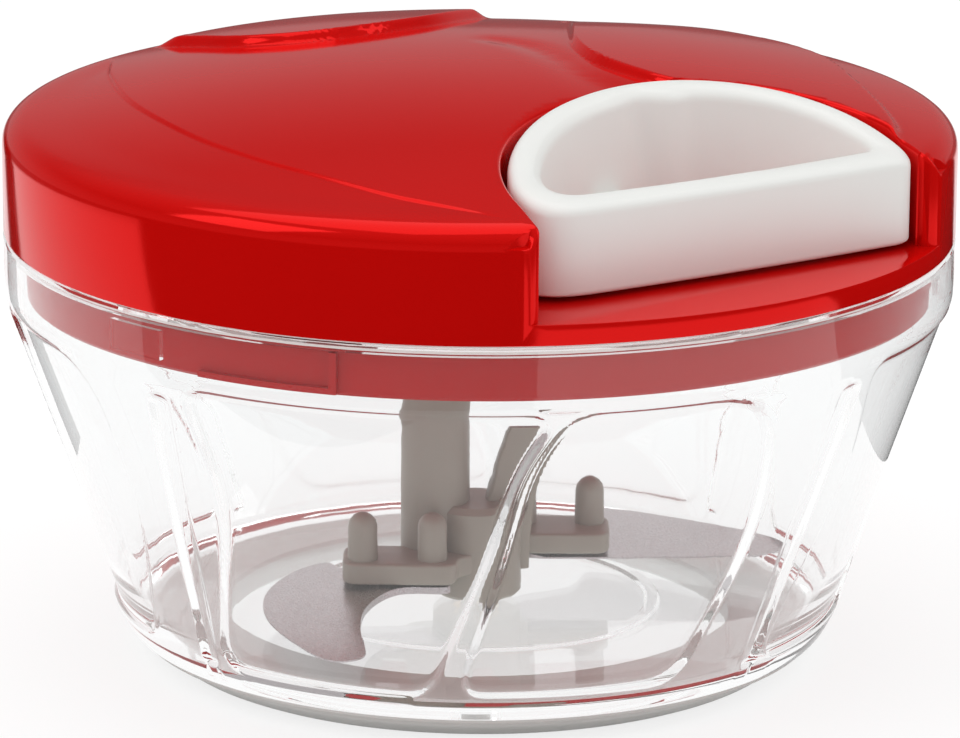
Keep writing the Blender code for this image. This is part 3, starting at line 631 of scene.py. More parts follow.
def press_relief(points):
    side = on_bowl_side(points)
    places = relief_places(points[side])
    wide, narrow, groove = (depth_inside(places, outline) for outline in RELIEF_OUTLINES)
    panel = np.maximum(wide, narrow)
    depth = PANEL_DEPTH * ease(panel / PANEL_EDGE + 0.5)
    depth = np.maximum(depth, GROOVE_DEPTH * ease(groove / GROOVE_EDGE + 0.5))
    angle = np.arctan2(points[side, 1], points[side, 0])
    radius = bowl_side_radius(np.minimum(points[side, 2], BOWL_NECK[1])) - depth
    points[side, 0] = radius * np.cos(angle)
    points[side, 1] = radius * np.sin(angle)
    return points


def arc_band(name, inner, outer, start, stop, bottom, top, steps):
    outline = around_circle(outer, (0, 0), start, stop, steps)
    outline += list(reversed(around_circle(inner, (0, 0), start, stop, steps)))
    return plate(name, outline, bottom, top)


def make_bowl():
    rings = round((BOWL_NECK[1] - BOWL_KNEE[1]) / BOWL_RING_GAP)
    heights = [BOWL_KNEE[1] + (BOWL_NECK[1] - BOWL_KNEE[1]) * index / rings for index in range(rings + 1)]
    profile = [(0.0, BOWL_FLOOR), (BOWL_FOOT_RADIUS, BOWL_FLOOR), (BOWL_FOOT_RADIUS + 0.7, BOWL_FLOOR + 0.9)]
    profile += [(bowl_side_radius(height), height) for height in heights]
    profile += [(BOWL_RADIUS - 0.1, BOWL_NECK[1] + 2.0), (BOWL_RADIUS, BOWL_NECK[1] + 4.0)]
    profile += [(BOWL_RADIUS, BOWL_RIM - 0.3), (BOWL_RADIUS - 0.3, BOWL_RIM)]
    profile += [(BOWL_RADIUS - BOWL_LIP_WALL + 0.2, BOWL_RIM), (BOWL_RADIUS - BOWL_LIP_WALL, BOWL_RIM - 0.2)]
    profile += [(BOWL_RADIUS - BOWL_LIP_WALL, BOWL_SEAT), (BOWL_INNER_RADIUS, BOWL_SEAT)]
    profile += [(BOWL_INNER_RADIUS, BOWL_NECK[1] + 2.4), (BOWL_INNER_RADIUS - 0.15, BOWL_NECK[1] + 0.6)]
    profile += [(bowl_side_radius(height) - BOWL_WALL, height) for height in reversed(heights[2::3])]
    profile += [(48.6, BOWL_KNEE[1] - 0.2), (47.0, BOWL_FLOOR_TOP + 0.35), (45.2, BOWL_FLOOR_TOP)]
    ring = FLOOR_RING_RADIUS
    profile += [(ring + 1.1, BOWL_FLOOR_TOP), (ring + 0.7, BOWL_FLOOR_TOP + 0.4)]
    profile += [(ring - 0.7, BOWL_FLOOR_TOP + 0.4), (ring - 1.1, BOWL_FLOOR_TOP)]
    profile += [(2.3, BOWL_FLOOR_TOP), (2.3, BOWL_FLOOR_TOP - 1.0), (0.0, BOWL_FLOOR_TOP - 1.0)]
    bowl = spun("bowl_shell", profile, BOWL_STEPS)
    refine(bowl, near_relief, 3)
    moved_points(bowl, press_relief)
    half_span = math.degrees(PIP_LENGTH / BOWL_RADIUS / 2)
    for index in range(PIP_COUNT):
        angle = PIP_ANGLE + index * 360.0 / PIP_COUNT
        pip = arc_band(
            f"pip_{index + 1}",
            BOWL_INNER_RADIUS - PIP_RISE,
            BOWL_INNER_RADIUS + BOWL_WALL / 2,
            angle - half_span,
            angle + half_span,
            PIP_MIDDLE - PIP_HEIGHT / 2,
            PIP_MIDDLE + PIP_HEIGHT / 2,
            8,
        )
        joined(bowl, pip)
    return smooth(bowl, 40.0)


def make_foot():
    inner, top = 36.0, foot_high[2]
    outer = foot_high[0]
    profile = [(inner, 0.5), (inner + 0.5, 0.0), (outer - 5.3, 0.0), (outer - 4.4, 0.4)]
    profile += [(outer - 3.2, 1.5), (outer - 1.6, 2.4), (outer - 0.5, 2.9), (outer, 3.4), (outer - 0.2, top)]
    profile += [(inner + 0.4, top), (inner, top - 0.4)]
    return smooth(spun("foot_cushion", profile, 180), 40.0)


# Lid cover


def dome_height(radius):
    share = radius / (LID_RADIUS - LID_SHOULDER)
    return LID_CROWN - LID_CROWN_RISE * share * share


def lid_surface(radius):
    """Height of the lid's top at this radius, with its rounded shoulder."""
    edge = LID_RADIUS - SHOULDER_WIDTH
    past = np.clip((radius - edge) / SHOULDER_WIDTH, 0.0, 1.0)
    slope = 2 * LID_CROWN_RISE * edge / (LID_RADIUS - LID_SHOULDER) ** 2
    under = slope * SHOULDER_WIDTH * past * (1 - past) + SHOULDER_DROP * (1 - np.sqrt(1 - past * past))
    return dome_height(np.minimum(radius, edge)) - under


BACK_PETAL_OUTLINE = flowing(BACK_PETAL)
RIGHT_PETAL_OUTLINE = flowing(RIGHT_PETAL)
LEFT_LOBE_OUTLINE = flowing(LEFT_LOBE)
VALLEY_OUTLINE = flowing(VALLEY)


def petal_rise(places):
    """What the petals, the crease and the valley add to the dome's height."""
    back = depth_inside(places, BACK_PETAL_OUTLINE)
    right = depth_inside(places, RIGHT_PETAL_OUTLINE)
    left = depth_inside(places, LEFT_LOBE_OUTLINE)
    valley = depth_inside(places, VALLEY_OUTLINE)
    rise = BACK_PETAL_RISE * ease(back / 1.5 + 0.5)
    sinking = 1 - ease((places[:, 1] - RIGHT_PETAL_END[0]) / (RIGHT_PETAL_END[1] - RIGHT_PETAL_END[0]))
    rise = np.maximum(rise, RIGHT_PETAL_RISE * ease(right / 1.2 + 0.5) * sinking)
    rise = rise - LEFT_CREASE * ease(left / 0.5 + 0.5) * np.exp(-np.maximum(left, 0.0) / LEFT_CREASE_FADE)
    rise = rise - VALLEY_DEPTH * ease(valley / VALLEY_SLOPE)
    radius = np.hypot(places[:, 0], places[:, 1])
    start, stop = PETAL_FADE
    return rise * (1 - ease((radius - start) / (stop - start)))


def near_petal_edges(centres):
    places = centres[:, :2]
    near = np.zeros(len(places), bool)
    for outline in (BACK_PETAL_OUTLINE, RIGHT_PETAL_OUTLINE, LEFT_LOBE_OUTLINE):
        near |= np.abs(depth_inside(places, outline)) < 2.2
    radius = np.hypot(places[:, 0], places[:, 1])
    return near & (radius < LID_RADIUS - SHOULDER_WIDTH) & (centres[:, 2] > dome_height(radius) - LID_WALL / 2)


def near_left_crease(centres):
    return near_petal_edges(centres) & (np.abs(depth_inside(centres[:, :2], LEFT_LOBE_OUTLINE)) < 0.9)


def raise_petals(points):
    radius = np.hypot(points[:, 0], points[:, 1])
    top = (points[:, 2] > dome_height(radius) - LID_WALL / 2) & (radius < LID_RADIUS - SHOULDER_WIDTH + 0.01)
    points[top, 2] = dome_height(radius[top]) + petal_rise(points[top, :2])
    return points


def bead(side, radius, flare, grow):
    """The rounded upright edge between the pocket and the skirt, from the pocket outward."""
    x = HANDLE_MIDDLE[0] + side * (HANDLE_HALF_WIDTH + POCKET_GAP + flare + radius)
    y = -math.sqrt((LID_RADIUS - radius) ** 2 - x * x)
    outward = math.degrees(math.atan2(y, x))
    start = -15.0 if side < 0 else -180.0
    stop = outward - 15.0 * side
    points = around_circle(max(radius - grow, 0.2), (x, y), start, stop, BEAD_STEPS)
    (x0, y0), (x1, y1) = points[-2:]
    reach = 7.0 / math.dist(points[-2], points[-1])
    return points + [(x1 + (x1 - x0) * reach, y1 + (y1 - y0) * reach)]


def pocket_outline(grow):
    back = [back_round(POCKET_GAP + grow, math.pi * index / POCKET_STEPS) for index in range(POCKET_STEPS + 1)]
    left, right = (bead(side, *BEADS[side], grow) for side in (-1, 1))
    front = -LID_RADIUS - 12.0
    return [(right[-1][0], front)] + right[::-1] + back + left + [(left[-1][0], front)]


def surface_at(outline):
    places = np.array(outline)
    return lid_surface(np.hypot(places[:, 0], places[:, 1])) + petal_rise(places)


def pocket_cutter():
    """Cuts the pocket, with an edge that rounds over into the lid's top."""
    outline = pocket_outline(0.0)
    surface = surface_at(outline)
    rings = [[(x, y, POCKET_FLOOR) for x, y in outline]]
    for degrees in (0.0, 18.0, 36.0, 54.0, 70.0):
        angle = math.radians(degrees)
        grow = POCKET_ROUND * (1 - math.cos(angle))
        drop = POCKET_ROUND * (1 - math.sin(angle))
        rings.append([(x, y, top - drop) for (x, y), top in zip(pocket_outline(grow), surface)])
    grow, lift = POCKET_ROUND + 0.4, 0.2
    rings.append([(x, y, top + lift) for (x, y), top in zip(pocket_outline(grow), surface)])
    rings.append([(x, y, LID_CROWN + 10.0) for x, y in pocket_outline(grow)])
    return loft("pocket_cutter", rings)


def pocket_tray():
    """The pocket's own walls and floor, before the pocket is cut."""
    outline = pocket_outline(POCKET_WALL)
    bottom = POCKET_FLOOR - POCKET_FLOOR_WALL
    under = surface_at(outline) - LID_WALL / 3
    rings = [[(x, y, bottom) for x, y in outline]]
    rings.append([(x, y, height) for (x, y), height in zip(outline, under)])
    inside = pocket_outline(-1.0)
    rings.append([(x, y, height) for (x, y), height in zip(inside, surface_at(inside) - LID_WALL / 3)])
    tray = loft("pocket_tray", rings)
    limit = LID_RADIUS - LID_WALL / 2
    drum = [(0.0, bottom - 1.0), (limit, bottom - 1.0), (limit, 70.0), (limit - 4.0, 90.0), (0.0, 90.0)]
    return combined(tray, spun("tray_limit", drum, LID_STEPS), "INTERSECT")


def round_lip(cover):
    """Rounds the ledge's outer edge, in front of the handle."""
    open_for_edit(cover)
    bpy.ops.mesh.select_all(action="DESELECT")
    shape = bmesh.from_edit_mesh(cover.data)
    for edge in shape.edges:
        ends = [point.co / MM for point in edge.verts]
        flat = all(abs(end.z - POCKET_FLOOR) < 0.02 for end in ends)
        outer = all(abs(math.hypot(end.x, end.y) - LID_RADIUS) < 0.1 for end in ends)
        edge.select_set(flat and outer)
    bmesh.update_edit_mesh(cover.data)
    bpy.ops.mesh.bevel(offset=LIP_ROUND * MM, segments=3, affect="EDGES", clamp_overlap=True)
    bpy.ops.object.mode_set(mode="OBJECT")


def make_cover():
    edge = LID_RADIUS - SHOULDER_WIDTH
    rings = round(edge / LID_RING_GAP)
    profile = [(LID_RADIUS - LID_WALL, LID_BOTTOM), (LID_RADIUS - 0.4, LID_BOTTOM)]
    profile += [(LID_RADIUS - 0.1, LID_BOTTOM + 0.1), (LID_RADIUS, LID_BOTTOM + 0.4)]
    profile += [(LID_RADIUS, float(lid_surface(LID_RADIUS)))]
    for degrees in (78.0, 66.0, 54.0, 42.0, 30.0, 20.0, 10.0):
        radius = edge + SHOULDER_WIDTH * math.sin(math.radians(degrees))
        profile.append((radius, float(lid_surface(radius))))
    profile += [(edge * (1 - index / rings), dome_height(edge * (1 - index / rings))) for index in range(rings)]
    profile += [(0.0, LID_CROWN), (0.0, LID_CROWN - LID_WALL)]
    inner = LID_RADIUS - LID_WALL
    profile += [(radius, dome_height(radius) - LID_WALL) for radius in (inner * 0.3, inner * 0.6, inner * 0.85)]
    profile += [(inner - LID_SHOULDER, dome_height(inner - LID_SHOULDER) - LID_WALL)]
    profile += [(inner, dome_height(inner) - LID_WALL - LID_SHOULDER)]
    cover = spun("lid_shell", profile, LID_STEPS)
    refine(cover, near_petal_edges, 3)
    refine(cover, near_left_crease, 1)
    moved_points(cover, raise_petals)
    joined(cover, pocket_tray())
    cut(cover, pocket_cutter())
    round_lip(cover)
    hole = spun("guide_hole", [(0, 0), (2.8, 0), (2.8, 8), (0, 8)], 24)
    laid_along_y(hole, CORD_X, -26.0, CORD_HEIGHT)
    cut(cover, hole)
    return smooth(cover, 32.0)


def laid_along_y(obj, x, y, height):
    """Lays an upright piece along +Y, with its foot at this place."""
    stand_alone(obj)
    obj.rotation_euler.x = -math.pi / 2
    obj.location = (x * MM, y * MM, height * MM)
    bpy.ops.object.transform_apply(location=True, rotation=True, scale=False)
    return obj


# Handle


def evenly_spaced(outline, count):
    """The same closed outline with this many points, evenly spaced, from its first point."""
    ring = np.array(outline + outline[:1])
    lengths = np.append(0.0, np.cumsum(np.linalg.norm(np.diff(ring, axis=0), axis=1)))
    wanted = np.linspace(0.0, lengths[-1], count, endpoint=False)
    return [tuple(place) for place in zip(*(np.interp(wanted, lengths, ring[:, axis]) for axis in (0, 1)))]


def along_line(points, reach):
    """The rest of a line past this distance from its start."""
    here = points[0]
    for index, point in enumerate(points[1:], 1):
        step = math.dist(here, point)
        if step >= reach:
            share = reach / step
            cut_place = tuple(here[axis] + (point[axis] - here[axis]) * share for axis in (0, 1))
            return [cut_place] + points[index:]
        reach -= step
        here = point
    return points[-1:]


def back_round(grow, angle):
    """A place on the handle's back, which leans towards its right end."""
    x = HANDLE_MIDDLE[0] + HANDLE_SKEW * math.sin(angle) + (HANDLE_HALF_WIDTH + grow) * math.cos(angle)
    return x, HANDLE_MIDDLE[1] + (HANDLE_DEPTH + grow) * math.sin(angle)


def handle_outline(grow, corners):
    """The handle's D, from the middle of its back round the left corner, the front and the right corner."""
    front_y = HANDLE_MIDDLE[1] - HANDLE_NOSE - grow
    start = math.asin(max(front_y - HANDLE_MIDDLE[1], 0.0) / (HANDLE_DEPTH + grow))
    back = [back_round(grow, start + (math.pi - 2 * start) * index / HANDLE_STEPS) for index in range(HANDLE_STEPS + 1)]
    right, left = (back[0][0], front_y), (back[-1][0], front_y)
    if front_y < HANDLE_MIDDLE[1]:
        back = [right] + back + [left]
    front = []
    for index in range(HANDLE_FRONT_STEPS + 1):
        share = 2 * index / HANDLE_FRONT_STEPS - 1
        x = (left[0] + right[0]) / 2 + (right[0] - left[0]) / 2 * share
        front.append((x, front_y - HANDLE_BULGE * (1 - share * share)))
    middle = len(back) // 2
    left_side, right_side = back[middle:], back[: middle + 1]
    left_end = along_line(left_side[::-1], corners[0])
    front_start = along_line(front, corners[0])
    front_end = along_line(front_start[::-1], corners[1])
    right_end = along_line(right_side, corners[1])
    outline = left_end[::-1] + corner_arc(left_end[0], left, front_start[0])
    outline += front_end[::-1] + corner_arc(front_end[0], right, right_end[0]) + right_end[:-1]
    return evenly_spaced(outline, HANDLE_POINTS)


def corner_arc(start, corner, stop, steps=8):
    points = []
    for step in range(1, steps):
        t = step / steps
        near, mid, far = (1 - t) ** 2, 2 * t * (1 - t), t * t
        points.append(tuple(start[axis] * near + corner[axis] * mid + stop[axis] * far for axis in (0, 1)))
    return points


def handle_top(y):
    share = (y - HANDLE_MIDDLE[1]) / HANDLE_DEPTH
    return HANDLE_FRONT_TOP + HANDLE_RISE * max(share, 0.0)


def with_ridge(outline):
    """The finger loop's outline, with a soft ridge and a groove up the inside of the handle's back."""
    ridged = []
    for x, y in outline:
        share = max(y - HANDLE_MIDDLE[1], 0.0) / HANDLE_DEPTH
        ridge = RIDGE_HEIGHT * math.exp(-(((x - RIDGE_X) / RIDGE_WIDTH) ** 2))
        groove = RIDGE_GROOVE * math.exp(-(((x - RIDGE_X + 2 * RIDGE_WIDTH) / RIDGE_WIDTH) ** 2))
        ridged.append((x, y + (groove - ridge) * share))
    return ridged


def make_handle():
    rings = []
    for level, degrees in HANDLE_EDGE_LEVELS:
        angle = math.radians(degrees)
        size = HANDLE_LOW_ROUND if level == "low" else HANDLE_ROUND
        inset = size * (1 - math.cos(angle))
        drop = size * (1 - math.sin(angle))
        outline = handle_outline(-inset, HANDLE_CORNERS)
        if level == "low":
            rings.append([(x, y, HANDLE_BOTTOM + drop) for x, y in outline])
        else:
            rings.append([(x, y, handle_top(y) - drop) for x, y in outline])
    handle = loft("handle_grip", rings)
    low = with_ridge(handle_outline(-HANDLE_WALL - HANDLE_DRAFT, LOOP_CORNERS))
    loop = [[(x, y, HANDLE_BOTTOM - CUT_OVERRUN) for x, y in low]]
    for degrees in (0.0, 22.5, 45.0, 70.0):
        angle = math.radians(degrees)
        grow = size * (1 - math.cos(angle))
        drop = size * (1 - math.sin(angle))
        outline = with_ridge(handle_outline(grow - HANDLE_WALL, LOOP_CORNERS))
        loop.append([(x, y, handle_top(y) - drop) for x, y in outline])
    outline = with_ridge(handle_outline(size + CUT_EDGE - HANDLE_WALL, LOOP_CORNERS))
    loop.append([(x, y, handle_top(y) + CUT_EDGE) for x, y in outline])
    loop.append([(x, y, HANDLE_BACK_TOP + CUT_OVERRUN) for x, y in outline])
    cut(handle, loft("finger_loop", loop))
    top, radius = CORD_HEIGHT + BOSS_RADIUS, BOSS_RADIUS
    profile = [(0.0, HANDLE_BOTTOM + 1.0), (radius, HANDLE_BOTTOM + 1.0), (radius, top - 1.2)]
    profile += [(radius - 0.3, top - 0.5), (radius - 1.0, top), (0.0, top)]
    joined(handle, spun("anchor_boss", profile, 40, (CORD_X, BOSS_Y)))
    bore = [(0.0, 0.0), (CORD_HOLE, 0.0), (CORD_HOLE, GUIDE_RECESS - BOSS_Y), (GUIDE_ROOM, GUIDE_RECESS - BOSS_Y)]
    bore += [(GUIDE_ROOM, -BOSS_Y), (0.0, -BOSS_Y)]
    cut(handle, laid_along_y(spun("cord_bore", bore, 40), CORD_X, BOSS_Y, CORD_HEIGHT))
    return smooth(handle, 32.0)


def make_cord():
    """The cord between the reel and the handle, with rings close enough to stretch evenly."""
    start, stop = CORD_ENDS
    profile = [(0.0, 0.0)]
    profile += [(CORD_RADIUS, (stop - start) * index / CORD_RINGS) for index in range(CORD_RINGS + 1)]
    profile.append((0.0, stop - start))
    return smooth(laid_along_y(spun("braided_cord", profile, 20), CORD_X, start, CORD_HEIGHT), 40.0)


# Screws under the lid


def make_screw():
    """A countersunk screw with a cross recess, head down, standing at the middle."""
    low, high = SCREW_ENDS
    head, shank = SCREW_HEAD_RADIUS, SCREW_RADIUS
    profile = [(0.0, low + 0.15), (head * 0.55, low), (head - 0.4, low), (head, low + 0.4), (head, low + 0.8)]
    profile += [(shank, low + SCREW_HEAD_HEIGHT + 0.4)]
    turns = round((high - low - SCREW_HEAD_HEIGHT - 2.0) / SCREW_PITCH)
    for turn in range(turns):
        foot = low + SCREW_HEAD_HEIGHT + 0.8 + turn * SCREW_PITCH
        profile += [(shank, foot), (shank + 0.35, foot + SCREW_PITCH / 3), (shank, foot + SCREW_PITCH * 2 / 3)]
    profile += [(shank, high - 1.0), (shank * 0.4, high), (0.0, high)]
    screw = spun("lid_screw_master", profile, 32)
    for across in ((1.9, 0.45), (0.45, 1.9)):
        arm = [(x * across[0], y * across[1]) for x, y in ((-1, -1), (1, -1), (1, 1), (-1, 1))]
        cut(screw, plate("cross_recess", arm, low - 1.0, low + 1.0))
    return smooth(screw, 30.0)


def make_screws():
    master = make_screw()
    screws = []
    for number, node in enumerate(SCREW_NODES, 1):
        low, high = box_mm(node)
        screw = master.copy()
        screw.data = master.data.copy()
        screw.name = f"cross_screw_{number}"
        bpy.context.scene.collection.objects.link(screw)
        turned_about_z(screw, 17.0 * number * number)
        screw.location = ((low[0] + high[0]) / 2 * MM, (low[1] + high[1]) / 2 * MM, 0)
        stand_alone(screw)
        bpy.ops.object.transform_apply(location=True, rotation=True, scale=False)
        screws.append((screw, "lid", "steel", node))
    bpy.data.objects.remove(master)
    return screws


# Plug under the lid


def make_plug():
    inner = PLUG_RADIUS - PLUG_WALL
    flange_top = LID_BOTTOM + 0.3
    plate_bottom = PLUG_BOTTOM + PLATE_RECESS
    plate_top = plate_bottom + PLATE_THICKNESS
    profile = [(13.4, plate_bottom), (inner, plate_bottom), (inner, PLUG_BOTTOM + 0.3), (inner + 0.3, PLUG_BOTTOM)]
    profile += [(PLUG_RADIUS - 0.5, PLUG_BOTTOM), (PLUG_RADIUS, PLUG_BOTTOM + 0.5), (PLUG_RADIUS, flange_top - 1.0)]
    profile += [(PLUG_RADIUS + PLUG_FLANGE, flange_top - 1.0), (PLUG_RADIUS + PLUG_FLANGE, flange_top)]
    profile += [(inner, flange_top), (inner, plate_top), (13.4, plate_top)]
    plug = spun("lid_plug", profile, 180)
    inside = PLUG_RADIUS - PLUG_WALL / 2
    outside = PLUG_RADIUS + LEDGE_RISE
    degrees_per_mm = math.degrees(1 / PLUG_RADIUS)
    for index in range(PIP_COUNT):
        start = PIP_ANGLE + LEDGE_LEAD * degrees_per_mm + index * 360.0 / PIP_COUNT
        stop = start + LEDGE_LENGTH * degrees_per_mm
        bottom = PLUG_BOTTOM + 0.3
        ledge = arc_band(f"ledge_{index}", inside, outside, start, stop, bottom, bottom + 0.8, 12)
        joined(plug, ledge)
        wall = arc_band(f"stop_{index}", inside, outside, stop - degrees_per_mm, stop, bottom, PLUG_BOTTOM + LEDGE_HEIGHT, 1)
        joined(plug, wall)
    return smooth(plug, 32.0)


# Rotor


def arm_outline(side):
    along, across = ARM_MIDDLE
    half_x, half_y = ARM_SIZE[0] / 2, ARM_SIZE[1] / 2
    corners = [
        (-along - half_x, -across - half_y, ARM_CORNER),
        (-along + half_x, -across - half_y, ARM_CORNER),
        (-along + half_x + 0.2, -across - 1.0, 2.0),
        (ARM_WEB / 2, -3.0, 1.0),
        (ARM_WEB / 2, 2.0, 1.0),
        (-ARM_WEB / 2, 1.0, 1.0),
        (-along + half_x - 2.0, -across + half_y, 1.5),
        (-along - half_x, -across + half_y, ARM_CORNER),
    ]
    outline = rounded_outline(corners, 4)
    return [(-side * x, -side * y) for x, y in outline]


def make_carrier():
    hub = [(0.0, HUB_BOTTOM), (HUB_RADIUS - 0.5, HUB_BOTTOM), (HUB_RADIUS, HUB_BOTTOM + 0.5)]
    hub += [(HUB_RADIUS, HUB_BOTTOM + HUB_HEIGHT - 0.8), (HUB_RADIUS - 0.8, HUB_BOTTOM + HUB_HEIGHT)]
    hub += [(0.0, HUB_BOTTOM + HUB_HEIGHT)]
    carrier = spun("carrier_body", hub, 56)
    for side, lift in ((-1, 0.0), (1, RIGHT_ARM_LIFT)):
        bottom = ARM_BOTTOM + lift
        arm = chamfered(plate(f"arm_{side}", arm_outline(side), bottom, bottom + ARM_THICKNESS), 0.4)
        joined(carrier, arm)
        for along, across in STUD_PLACES:
            top = bottom + ARM_THICKNESS + STUD_HEIGHT
            profile = [(0.0, bottom + 1.0), (STUD_RADIUS + 0.1, bottom + 1.0), (STUD_RADIUS, top - STUD_RADIUS)]
            for degrees in (25.0, 50.0, 72.0):
                angle = math.radians(degrees)
                reach = STUD_RADIUS
                profile.append((reach * math.cos(angle), top - reach + reach * math.sin(angle)))
            profile.append((0.0, top))
            joined(carrier, spun("stud", profile, 32, (side * along, side * across)))
    post = [(0.0, ARM_BOTTOM + 0.3), (POST_RADIUS + 0.1, ARM_BOTTOM + 0.3), (POST_RADIUS - 0.05, POST_TOP - 0.8)]
    post += [(POST_RADIUS - 0.8, POST_TOP), (0.0, POST_TOP)]
    joined(carrier, spun("drive_post", post, 56, (-POST_OFFSET, 0.0)))
    joined(carrier, make_paddle())
    bore = [(0.0, HUB_BOTTOM - 2.0), (3.6, HUB_BOTTOM - 2.0), (3.6, HUB_BOTTOM + 12.0), (0.0, HUB_BOTTOM + 12.0)]
    cut(carrier, spun("hub_bore", bore, 32))
    return smooth(turned_about_z(carrier, ROTOR_YAW), 32.0)


def make_paddle():
    """The upright wing in front of the post: its foot on the hub, its top leaning outward."""
    rings = []
    levels = 16
    for level in range(levels + 1):
        share = level / levels
        middle = 3.6 + 3.8 * share ** 1.6
        half_width = (7.6 - 1.6 * share) / 2
        half = 1.6
        turn = math.radians(18.0 * (1 - share))
        round_off = 0.8
        corners = [
            (-half_width, -half, round_off),
            (half_width, -half, round_off),
            (half_width, half, round_off),
            (-half_width, half, round_off),
        ]
        outline = rounded_outline(corners, 3)
        ring = []
        for x, y in outline:
            x += middle
            ring.append(
                (
                    x * math.cos(turn) - y * math.sin(turn),
                    x * math.sin(turn) + y * math.cos(turn),
                    PADDLE_BOTTOM + PADDLE_HEIGHT * share,
                )
            )
        rings.append(ring)
    return loft("paddle", rings)


def make_blade(name, shares, bottom, ground):
    """A pressed blade, ground down to an edge along the stretch that ground picks."""
    outline = [(x * BLADE_REACH, y * BLADE_REACH) for x, y in shares]
    blade = plate(name, flowing(outline, 4), bottom, bottom + BLADE_THICKNESS)
    open_for_edit(blade)
    bpy.ops.mesh.select_all(action="DESELECT")
    shape = bmesh.from_edit_mesh(blade.data)
    top = (bottom + BLADE_THICKNESS) * MM
    for face in shape.faces:
        face.select_set(face.normal.z > 0.9)
    bmesh.update_edit_mesh(blade.data)
    bpy.ops.mesh.inset(thickness=2.4 * MM, depth=0)
    shape = bmesh.from_edit_mesh(blade.data)
    outer = [point for point in shape.verts if point.co.z > top - 1e-6 and not point.select]
    for point in outer:
        if ground(point.co.x / MM, point.co.y / MM):
            point.co.z -= BLADE_THICKNESS * 0.75 * MM
    bmesh.update_edit_mesh(blade.data)
    bpy.ops.object.mode_set(mode="OBJECT")
    return smooth(turned_about_z(blade, ROTOR_YAW), 12.0)


# Finishes


class Signal:
    """A shader socket that takes part in Python's arithmetic."""

    def __init__(self, nodes, socket):
        self.nodes = nodes
        self.socket = socket

    def maths(self, operation, first, second):
        return self.nodes.maths(operation, first, second)

    def __add__(self, other):
        return self.maths("ADD", self, other)

    __radd__ = __add__

    def __mul__(self, other):
        return self.maths("MULTIPLY", self, other)

    __rmul__ = __mul__

    def __sub__(self, other):
        return self.maths("SUBTRACT", self, other)

    def __rsub__(self, other):
        return self.maths("SUBTRACT", other, self)

    def at_least(self, other):
        return self.maths("MAXIMUM", self, other)

    def at_most(self, other):
        return self.maths("MINIMUM", self, other)


class Nodes:
    """A node tree. add() makes any node: settings first, then the values or links of its sockets."""

    def __init__(self, tree):
        self.tree = tree
        self.tree.nodes.clear()

    def add(self, kind, settings=None, sockets=None, output=0):
        node = self.tree.nodes.new("ShaderNode" + kind)
        for key, value in (settings or {}).items():
            if key == "stops":
                ramp = node.color_ramp.elements
                while len(ramp) < len(value):
                    ramp.new(0.5)
                for element, (place, colour) in zip(ramp, value):
                    element.position = place
                    element.color = colour
            else:
                setattr(node, key, value)
        for key, value in (sockets or {}).items():
            if isinstance(value, Signal):
                self.tree.links.new(value.socket, node.inputs[key])
            else:
                node.inputs[key].default_value = value
        return Signal(self, node.outputs[output]) if len(node.outputs) else None

    def maths(self, operation, first, second):
        return self.add("Math", {"operation": operation}, {0: first, 1: second})

    def noise(self, size, detail=2.0, stretch=None):
        """Noise from 0 to 1, with features of this size in millimetres."""
        place = self.add("TexCoord", output="Object")
        if stretch:
            place = self.add("Mapping", {}, {"Vector": place, "Scale": stretch})
        sockets = {"Vector": place, "Scale": 1 / (size * MM), "Detail": detail}
        return self.add("TexNoise", {}, sockets, "Fac")

    def between(self, share, first, second):
        """A colour between two, by share."""
        return self.add("Mix", {"data_type": "RGBA"}, {"Factor": share, "A": first, "B": second}, "Result")

    def bumped(self, height, depth, strength=1.0):
        return self.add("Bump", {}, {"Strength": strength, "Distance": depth * MM, "Height": height})


class Finish(Nodes):
    def __init__(self, name):
        self.material = bpy.data.materials.new(name)
        self.material.use_nodes = True
        super().__init__(self.material.node_tree)

    def shader(self, **sockets):
        """The main shader. Socket names are written with underscores."""
        return self.add("BsdfPrincipled", {}, {key.replace("_", " "): value for key, value in sockets.items()})

    def surface(self, **sockets):
        """The main shader, joined to the material's output."""
        self.add("OutputMaterial", {}, {"Surface": self.shader(**sockets)})
        return self.material


def rgb(red, green, blue):
    return (red, green, blue, 1.0)


def scaled(colour, factor):
    return (colour[0] * factor, colour[1] * factor, colour[2] * factor, 1.0)


def moulded(name, colour, roughness, mottle=0.04, grain=0.004, grain_size=0.7, **sockets):
    """Moulded plastic: a faint mottle, a slightly uneven gloss and a fine skin."""
    finish = Finish(name)
    cloud = finish.noise(16.0, 3.0)
    base = finish.between(cloud, scaled(colour, 1 - mottle), scaled(colour, 1 + mottle))
    gloss = roughness * 0.8 + finish.noise(5.0, 4.0) * (roughness * 0.4)
    skin = finish.bumped(finish.noise(grain_size, 3.0), grain)
    return finish.surface(Base_Color=base, Roughness=gloss, Normal=skin, **sockets)


def brushed(name, colour, roughness, stretch, size=0.35, depth=0.004):
    """Metal with fine lines along one direction."""
    finish = Finish(name)
    lines = finish.noise(size, 4.0, stretch)
    cloud = finish.noise(9.0, 3.0)
    base = finish.between(cloud, scaled(colour, 0.92), scaled(colour, 1.06))
    gloss = roughness * 0.75 + lines * (roughness * 0.5)
    return finish.surface(
        Base_Color=base, Roughness=gloss, Normal=finish.bumped(lines, depth), Metallic=1.0
    )


